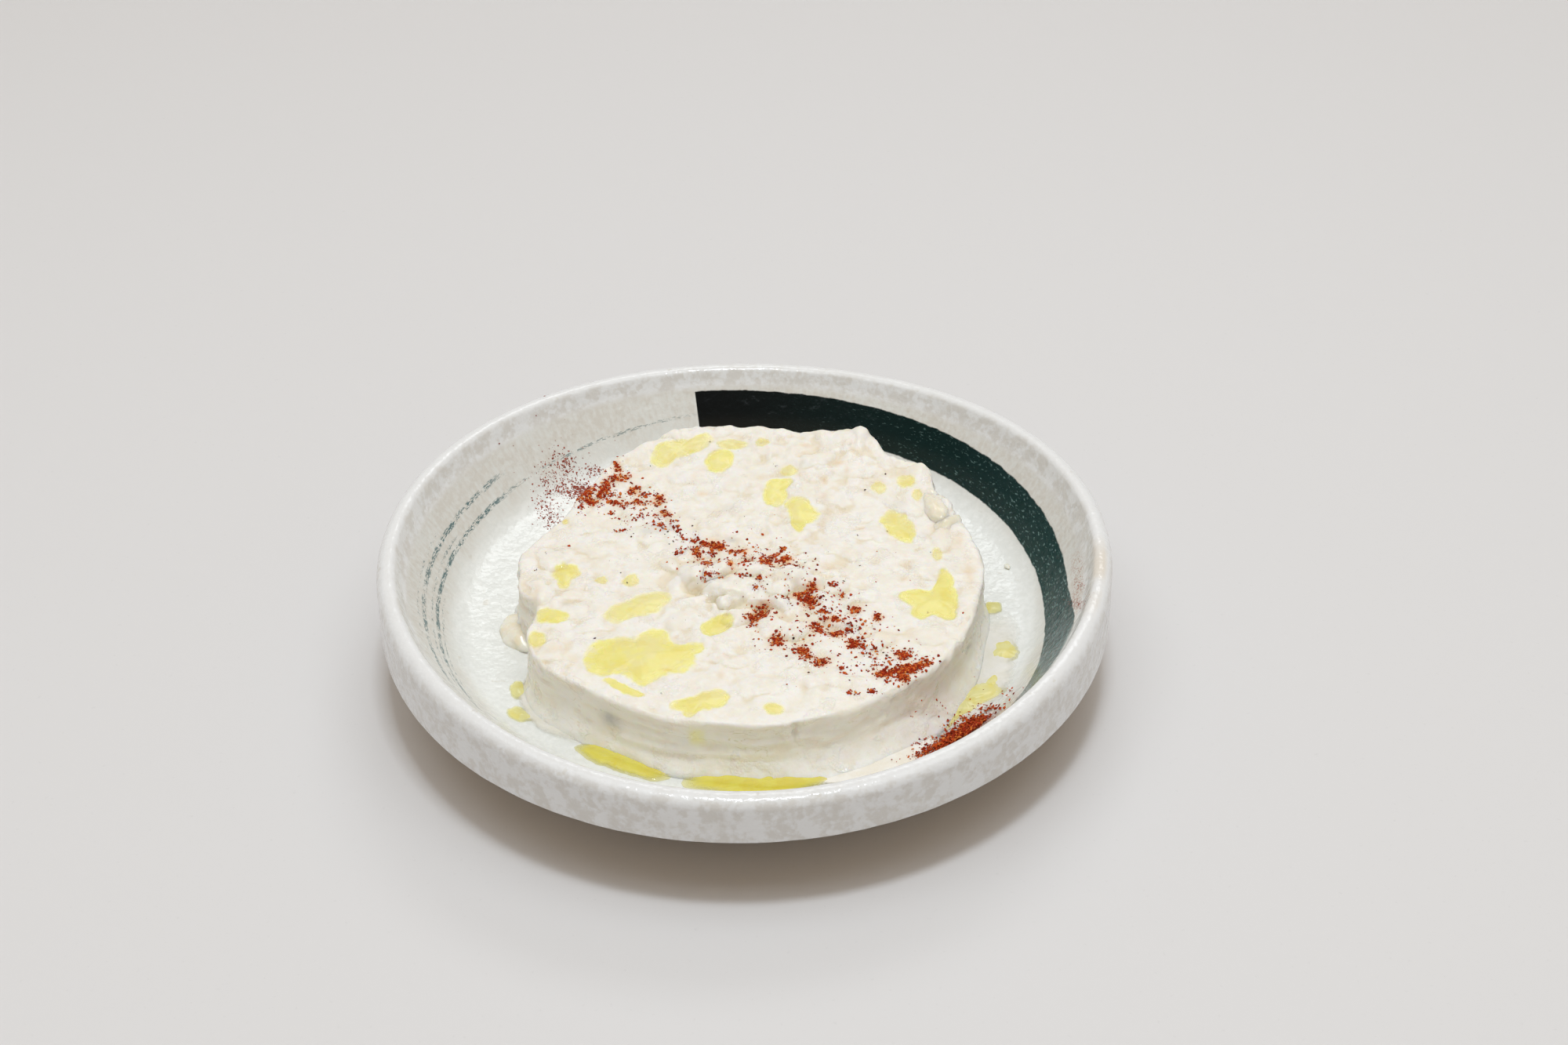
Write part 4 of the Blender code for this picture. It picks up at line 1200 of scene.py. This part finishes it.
CLUSTERS = (  # x, y, half length, half width, turn in degrees, crumbs
    (-37.3, 40.3, 2.6, 0.9, 100, 46), (-36.5, 35.6, 3.2, 1.2, 10, 60), (-40.6, 31.5, 4.2, 1.5, 80, 95),
    (-32, 30.6, 1.6, 1.4, 0, 42), (-28.9, 28.8, 1.4, 0.9, 20, 26), (-47, 29.6, 2.2, 3.2, -30, 170),
    (-44.3, 26.4, 2, 1.5, -20, 62), (-46.8, 23, 0.8, 2, 10, 22), (-41, 29, 6, 3, -20, 70),
    (-37.4, 25.2, 2.4, 1, -20, 34), (-34, 24.2, 1.8, 0.8, 10, 22), (-31, 25.2, 1.8, 1.2, -20, 30),
    (-24.9, 26.6, 1.5, 2.2, -20, 56), (-22.9, 20.8, 1.6, 1.2, -20, 34), (-38, 20.5, 0.8, 1.6, 0, 12),
    (-29.6, 18.5, 1.2, 0.8, 0, 12), (-35.6, 13, 1.6, 0.9, 30, 14), (-20.4, 17.5, 1.2, 0.8, 0, 12),
    (-24, 15.3, 1.4, 1.4, 0, 16), (-19.4, 13.4, 1.2, 1.4, 20, 16), (-30, 21, 10, 6, -35, 60),
    (-9.3, 5.4, 2.4, 2.2, -10, 120), (-7, 4.2, 2, 1.2, 0, 50), (-14.2, 8, 1, 1.3, 20, 22),
    (-13.4, 1.2, 1.2, 2.4, 15, 44), (-9.8, 1.6, 1.4, 1, 0, 20), (-3.3, 2.3, 1.5, 1.1, -20, 36),
    (-0.8, 1.8, 1.5, 1.6, 0, 48), (-18.4, 2.7, 1.6, 1.3, 30, 22), (-17.8, 9, 1.2, 2, 20, 12),
    (-10.6, -5.2, 1.3, 3, 10, 84), (-4, -6.6, 0.7, 2.4, 0, 30), (-10.2, -12.5, 1.2, 1.2, 0, 24),
    (-7.2, -12, 1, 0.8, 0, 12), (0.2, -4, 1.2, 2.8, -20, 44), (5.8, -3.6, 1.7, 3, -12, 100),
    (10.3, 3.5, 0.9, 1.1, 0, 22), (8.2, 0.5, 1.4, 0.9, 40, 26), (11.2, -2.4, 2, 1.5, 30, 52),
    (13.3, -4.6, 1, 1, 0, 20), (-1, -13.4, 1.4, 0.9, 0, 14), (4, -13, 1.2, 1.4, 0, 14),
    (3.6, -17, 1.4, 0.7, 20, 14), (4.8, -24, 1.7, 2.3, -30, 90), (2.6, -27, 1.6, 1.8, -30, 80),
    (2, -30, 1, 1.4, 20, 18), (18.2, -16.4, 1.4, 2, -30, 70), (14.6, -19.2, 2, 0.9, 5, 40),
    (17.4, -21.6, 2, 2.2, 40, 105), (20.9, -25.6, 1.4, 0.9, -20, 26), (24, -13.9, 1.6, 0.9, 35, 26),
    (26.2, -17, 0.8, 1.2, 0, 20), (29.7, -23.4, 1.3, 1.5, 0, 34), (35.5, -27, 1.2, 1.5, 10, 34),
    (23.9, -29, 2.2, 0.9, -10, 40), (19, -31.5, 1.8, 2.2, 20, 44), (24.3, -33.8, 2, 1.5, -20, 72),
    (28.7, -38, 1.6, 1.6, 0, 74), (31, -39, 1.2, 0.5, -30, 10), (27.5, -32.5, 1.6, 1.5, 0, 20),
    (8.7, -36.4, 1.7, 2.2, 20, 96), (15.4, -40.4, 1.7, 2.1, 20, 84), (16.9, -43.9, 1.6, 0.8, 20, 32),
    (20.3, -45.4, 1.9, 1.4, 30, 52), (33.6, -41, 1.2, 1.8, 0, 20), (34, -46.5, 1, 1.6, 0, 18),
    (41.3, -42.6, 1.6, 1.8, 20, 60), (43.4, -41.2, 0.6, 1.2, 0, 10), (36.4, -50, 2.4, 1.3, 10, 90),
    (42.3, -48.4, 3.8, 1.7, 22, 250), (46.3, -46.3, 2, 1.3, 25, 110), (41, -51.8, 1.5, 1.5, 0, 80),
    (27.2, -57.2, 0.9, 0.6, 0, 12), (29.2, -57.2, 0.8, 0.6, 0, 12), (33, -56.9, 1, 0.9, 0, 20),
    (37.3, -53.8, 1.2, 0.8, -40, 10), (25.4, -47.8, 0.9, 0.6, 30, 8), (26, -50, 0.8, 0.4, 0, 6),
    (7, -2, 16, 10, -30, 60), (22, -27, 16, 9, -35, 120), (36, -44, 10, 5, 10, 60),
)
HEAP = (  # the heap against the near right wall, on the floor of the dish
    (57.4, -55, 5.6, 2.7, 44, 1250), (51, -60, 4.6, 2, 40, 620), (61, -51, 2, 2.4, -20, 170),
    (46, -63.5, 2.8, 1.3, 38, 120), (63.4, -45.5, 2, 2.4, 30, 26), (45.5, -58.5, 3.6, 2.6, 20, 40),
    (60, -42, 0.6, 1.2, 0, 4), (69.9, -39.5, 0.5, 0.6, 0, 3), (40, -64.5, 3.4, 1.6, 20, 10),
    (55, -49.5, 6, 1.6, 30, 40),
)
FLOOR_DUST = (  # far left floor of the dish
    (-54.8, 63.4, 2.4, 1.8, 30, 60), (-47, 65, 3.2, 1.6, 20, 46), (-60.8, 56.2, 2.4, 2.6, 20, 40),
    (-55.2, 55.6, 2.4, 1.8, 20, 70), (-51, 56.4, 2.2, 3, -30, 190), (-56, 60, 6, 5, 40, 120),
    (-57.5, 42, 3.4, 6, 20, 90), (-61, 49, 4, 4, 0, 50),
)
LIP_DUST = (  # under the lip at the right
    (89.2, -21.5, 0.8, 5, 14, 200), (90.8, -13.5, 0.6, 3.4, 8, 80),
)
CHAR_CRUMBS = (
    (-57.3, -5.3, 0.5, 0.6, 0, 5), (-54.8, 1.3, 0.2, 0.7, 20, 3), (-39.2, -34.8, 0.2, 0.2, 0, 2),
    (-39, -38.3, 0.2, 0.2, 0, 1), (-11.8, -26.2, 0.3, 0.2, 0, 2), (8.7, 41, 0.3, 0.4, 0, 3),
    (-10.8, 51.5, 0.3, 0.3, 0, 2), (40, 37, 0.4, 0.6, 0, 2), (5.5, 3.8, 0.6, 0.1, 0, 3),
    (-15, 15, 0.3, 0.4, 0, 4), (-21.6, 12.2, 0.4, 0.5, 0, 5), (-32, 9.2, 0.3, 0.3, 0, 2),
    (30, -31.5, 0.4, 1.4, 10, 5), (26.9, -11.3, 0.4, 0.8, 0, 4), (1.8, -29.5, 0.5, 1, 0, 5),
    (13.2, -36, 0.4, 0.5, 0, 3), (16.4, -3.4, 0.4, 0.2, 0, 2), (36.9, -42, 0.4, 1.2, 20, 4),
    (31.3, -4.3, 0.2, 0.2, 0, 1), (0, 0, 52, 46, 0, 46), (-20.7, -57.4, 0.4, 0.3, 0, 2),
    (-8.5, -9.5, 0.3, 0.2, 0, 2),
)


CRUMB_RED = (0.45, 0.06, 0.012, 1.0)  # mixed a little into every crumb
CHILLI_REDS = (
    (0.17, 0.012, 0.004), (0.30, 0.022, 0.005), (0.43, 0.036, 0.007), (0.58, 0.085, 0.014),
    (0.78, 0.27, 0.05),
)
DUST_REDS = ((0.22, 0.045, 0.03), (0.38, 0.09, 0.06), (0.52, 0.22, 0.17))
SKIN_BLACKS = ((0.012, 0.012, 0.013), (0.05, 0.045, 0.045), (0.12, 0.10, 0.09))
STAINING_CRUMBS = 30  # fewer crumbs than this leave no stain
STAINING_SIZE_MM = 5  # and neither do clusters longer than this


def sprinkle_tree():
    """Scatters places round each start point, drops them straight onto a piece, and lays a crumb on each."""
    tree, given = new_tree("sprinkle", (
        ("Lands On", "Object"), ("Smallest", "Float"), ("Largest", "Float"), ("Size Bias", "Float"),
        ("Strays", "Float"), ("Gaps", "Float"), ("Gap Size", "Float"), ("Heap Height", "Float"),
        ("Seed", "Int"), ("Crumb", "Material"),
    ))

    def named(name, kind):
        return add_node(tree, "GeometryNodeInputNamedAttribute", {"Name": name}, data_type=kind).outputs[0]

    def chance(kind, low, high, extra):
        made = add_node(tree, "FunctionNodeRandomValue", data_type=kind)
        pair = {"FLOAT": (2, 3), "FLOAT_VECTOR": (0, 1), "INT": (4, 5)}[kind]
        feed(made.inputs[pair[0]], low)
        feed(made.inputs[pair[1]], high)
        feed(made.inputs["Seed"], Field(given["Seed"]) + extra)
        return next(s for s in made.outputs if s.enabled)

    def vector(operation, *values):
        made = add_node(tree, "ShaderNodeVectorMath", operation=operation)
        for socket, value in zip(made.inputs, values):
            feed(socket, value)
        return made.outputs[0]

    crumbs = add_node(tree, "GeometryNodeDuplicateElements", domain="POINT", inputs={
        "Geometry": given["Geometry"], "Amount": named("crumbs", "INT")}).outputs[0]
    low, high = (-1.0, -1.0, -1.0), (1.0, 1.0, 1.0)
    bell = vector("ADD", chance("FLOAT_VECTOR", low, high, 1), chance("FLOAT_VECTOR", low, high, 2))
    bell = vector("ADD", bell, chance("FLOAT_VECTOR", low, high, 3))
    reach = vector("MULTIPLY", bell, named("reach", "FLOAT_VECTOR"))
    stray = Field(chance("FLOAT", 0.0, 1.0, 4)).work("LESS_THAN", given["Strays"]) * 1.7 + 1
    reach = add_node(tree, "ShaderNodeVectorMath", {0: reach, "Scale": stray * 0.55}, operation="SCALE")
    turned = add_node(tree, "ShaderNodeVectorRotate", rotation_type="Z_AXIS", inputs={
        "Vector": reach.outputs[0], "Angle": named("turn", "FLOAT")}).outputs[0]
    spread = add_node(tree, "GeometryNodeSetPosition", {"Geometry": crumbs, "Offset": turned}).outputs[0]
    spot = add_node(tree, "GeometryNodeInputPosition").outputs[0]
    ragged = add_node(tree, "ShaderNodeTexNoise", {
        "Vector": spot, "Scale": Field(given["Gap Size"]).work("POWER", -1.0), "Detail": 2.0}).outputs[0]
    bare = Field(ragged).work("LESS_THAN", given["Gaps"])
    sparse = add_node(tree, "GeometryNodeDeleteGeometry", {
        "Geometry": spread, "Selection": bare}, domain="POINT")
    target = add_node(tree, "GeometryNodeObjectInfo", {"Object": given["Lands On"]}).outputs["Geometry"]
    fall = add_node(tree, "GeometryNodeRaycast", {
        "Target Geometry": target, "Source Position": spot, "Ray Direction": (0.0, 0.0, -1.0),
        "Ray Length": 0.1})
    missed = Field(fall.outputs["Is Hit"]).work("LESS_THAN", 0.5).socket
    landing = add_node(tree, "GeometryNodeDeleteGeometry", {
        "Geometry": sparse.outputs[0], "Selection": missed}, domain="POINT").outputs[0]
    marked = add_node(tree, "GeometryNodeStoreNamedAttribute", {
        "Geometry": landing, "Name": "up", "Value": fall.outputs["Hit Normal"],
    }, data_type="FLOAT_VECTOR", domain="POINT")
    pile = add_node(tree, "ShaderNodeCombineXYZ", {
        "Z": Field(chance("FLOAT", 0.0, 1.0, 5)) * given["Heap Height"]})
    landed = add_node(tree, "GeometryNodeSetPosition", {
        "Geometry": marked.outputs[0], "Position": fall.outputs["Hit Position"], "Offset": pile.outputs[0]})

    shapes = add_node(tree, "GeometryNodeJoinGeometry")
    for number, sides in enumerate(((1.0, 0.7, 0.35), (1.0, 0.45, 0.4), (0.8, 0.75, 0.3))):
        ball = add_node(tree, "GeometryNodeMeshIcoSphere", {"Radius": 1.0, "Subdivisions": 1}).outputs[0]
        rough = add_node(tree, "ShaderNodeTexNoise", {"Vector": spot, "W": float(number), "Scale": 0.9},
                         noise_dimensions="4D").outputs[1]
        pushed = vector("MULTIPLY", vector("ADD", spot, vector("SUBTRACT", rough, (0.5, 0.5, 0.5))), sides)
        chip = add_node(tree, "GeometryNodeSetPosition", {"Geometry": ball, "Position": pushed})
        chip = add_node(tree, "GeometryNodeGeometryToInstance", {"Geometry": chip.outputs[0]})
        tree.links.new(chip.outputs[0], shapes.inputs[0])
    facing = add_node(tree, "FunctionNodeAlignRotationToVector", axis="Z", inputs={
        "Vector": named("up", "FLOAT_VECTOR")})
    size = Field(chance("FLOAT", 0.0, 1.0, 6)).work("POWER", given["Size Bias"])
    size = size * (Field(given["Largest"]) - given["Smallest"]) + given["Smallest"]
    laid = add_node(tree, "GeometryNodeInstanceOnPoints", {
        "Points": landed.outputs[0], "Instance": shapes.outputs[0], "Pick Instance": True,
        "Instance Index": chance("INT", 0, 2, 7), "Rotation": facing.outputs[0], "Scale": size})
    tumble = chance("FLOAT_VECTOR", (-0.5, -0.5, 0.0), (0.5, 0.5, 6.28), 8)
    spun = add_node(tree, "GeometryNodeRotateInstances", {"Instances": laid.outputs[0], "Rotation": tumble})
    toned = add_node(tree, "GeometryNodeStoreNamedAttribute", data_type="FLOAT", domain="INSTANCE", inputs={
        "Geometry": spun.outputs[0], "Name": "tone", "Value": chance("FLOAT", 0.0, 1.0, 9)})
    close_tree(tree, toned.outputs[0], given["Crumb"])
    return tree


def crumb_material(name, colours, roughness):
    """Crumbs whose own random tone picks their colour from a row of colours, dark to bright."""
    material, tree, shader = surface(name)
    row = add_node(tree, "ShaderNodeValToRGB", {"Fac": read_attribute(tree, "tone")})
    ramp = row.color_ramp.elements
    while len(ramp) < len(colours):
        ramp.new(0.5)
    for number, (item, colour) in enumerate(zip(ramp, colours)):
        item.position = number / (len(colours) - 1)
        item.color = (*colour, 1.0)
    uneven = grain(tree, 0.0003, place_in_piece(tree), detail=1.0)
    colour = blend(tree, uneven.smooth(0.4, 0.7) * 0.3, row.outputs[0], CRUMB_RED)
    feed(shader.inputs["Base Color"], colour)
    shader.inputs["Roughness"].default_value = roughness
    shader.inputs["Specular IOR Level"].default_value = 0.12
    return material


def cluster_points(name, clusters, plenty):
    """Start points of clusters, each (x, y, half length, half width, turn, crumbs) in mm and degrees."""
    reaches = [(length / 1000, width / 1000, 0) for _, _, length, width, _, _ in clusters]
    return points_mesh(name, [(x / 1000, y / 1000, 0.05) for x, y, *_ in clusters], (
        ("reach", "FLOAT_VECTOR", reaches),
        ("turn", "FLOAT", [math.radians(turn) for *_, turn, _ in clusters]),
        ("crumbs", "INT", [round(plenty * count) for *_, count in clusters]),
    ))


# The dip is stained where the crumbs lie thickest
dense = 0 * x
for cluster_x, cluster_y, length, width, turn, count in CLUSTERS:
    if count < STAINING_CRUMBS or length > STAINING_SIZE_MM:
        continue
    c, s = math.cos(math.radians(turn)), math.sin(math.radians(turn))
    u = ((x - cluster_x) * c + (y - cluster_y) * s) / (length + 0.3)
    v = ((y - cluster_y) * c - (x - cluster_x) * s) / (width + 0.3)
    dense = np.maximum(dense, min(1.0, count / (16 * length * width)) * np.exp(-1.2 * (u * u + v * v)))
set_attribute(cake, "chilli", dense * np.maximum(top, 0.1))
cake.materials.append(dip_material())
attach(dip, "root")
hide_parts("baba_ganoush")

sprinkle = sprinkle_tree()
red = crumb_material("chilli_crumbs", CHILLI_REDS, 0.6)
dusty = crumb_material("chilli_dust", DUST_REDS, 0.6)
black = crumb_material("charred_skin", SKIN_BLACKS, 0.4)
SPRINKLES = (  # name, clusters, plenty, what lies below, smallest, largest and heap in mm, gaps, seed, look
    ("chilli_on_dip", CLUSTERS, 2.2, dip, 0.15, 0.7, 0.1, 0.42, 3, red),
    ("chilli_heap", HEAP, 1.6, dish, 0.15, 0.65, 1.6, 0.28, 5, red),
    ("chilli_dust_on_floor", FLOOR_DUST, 2.4, dish, 0.12, 0.44, 0.1, 0.40, 7, dusty),
    ("chilli_dust_on_lip", LIP_DUST, 1.0, dish, 0.06, 0.2, 0.1, 0.30, 9, dusty),
    ("charred_crumbs", CHAR_CRUMBS, 1.0, dip, 0.12, 0.5, 0.1, 0.0, 11, black),
)
for name, clusters, plenty, below, smallest, largest, heap, gaps, seed, look in SPRINKLES:
    piece = grown(name, cluster_points(name, clusters, plenty), sprinkle, {
        "Lands On": below, "Smallest": smallest / 1000, "Largest": largest / 1000, "Size Bias": 2.2,
        "Strays": 0.12, "Gaps": gaps, "Gap Size": 0.0011, "Heap Height": heap / 1000, "Seed": seed,
        "Crumb": look,
    })
    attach(piece, "root")
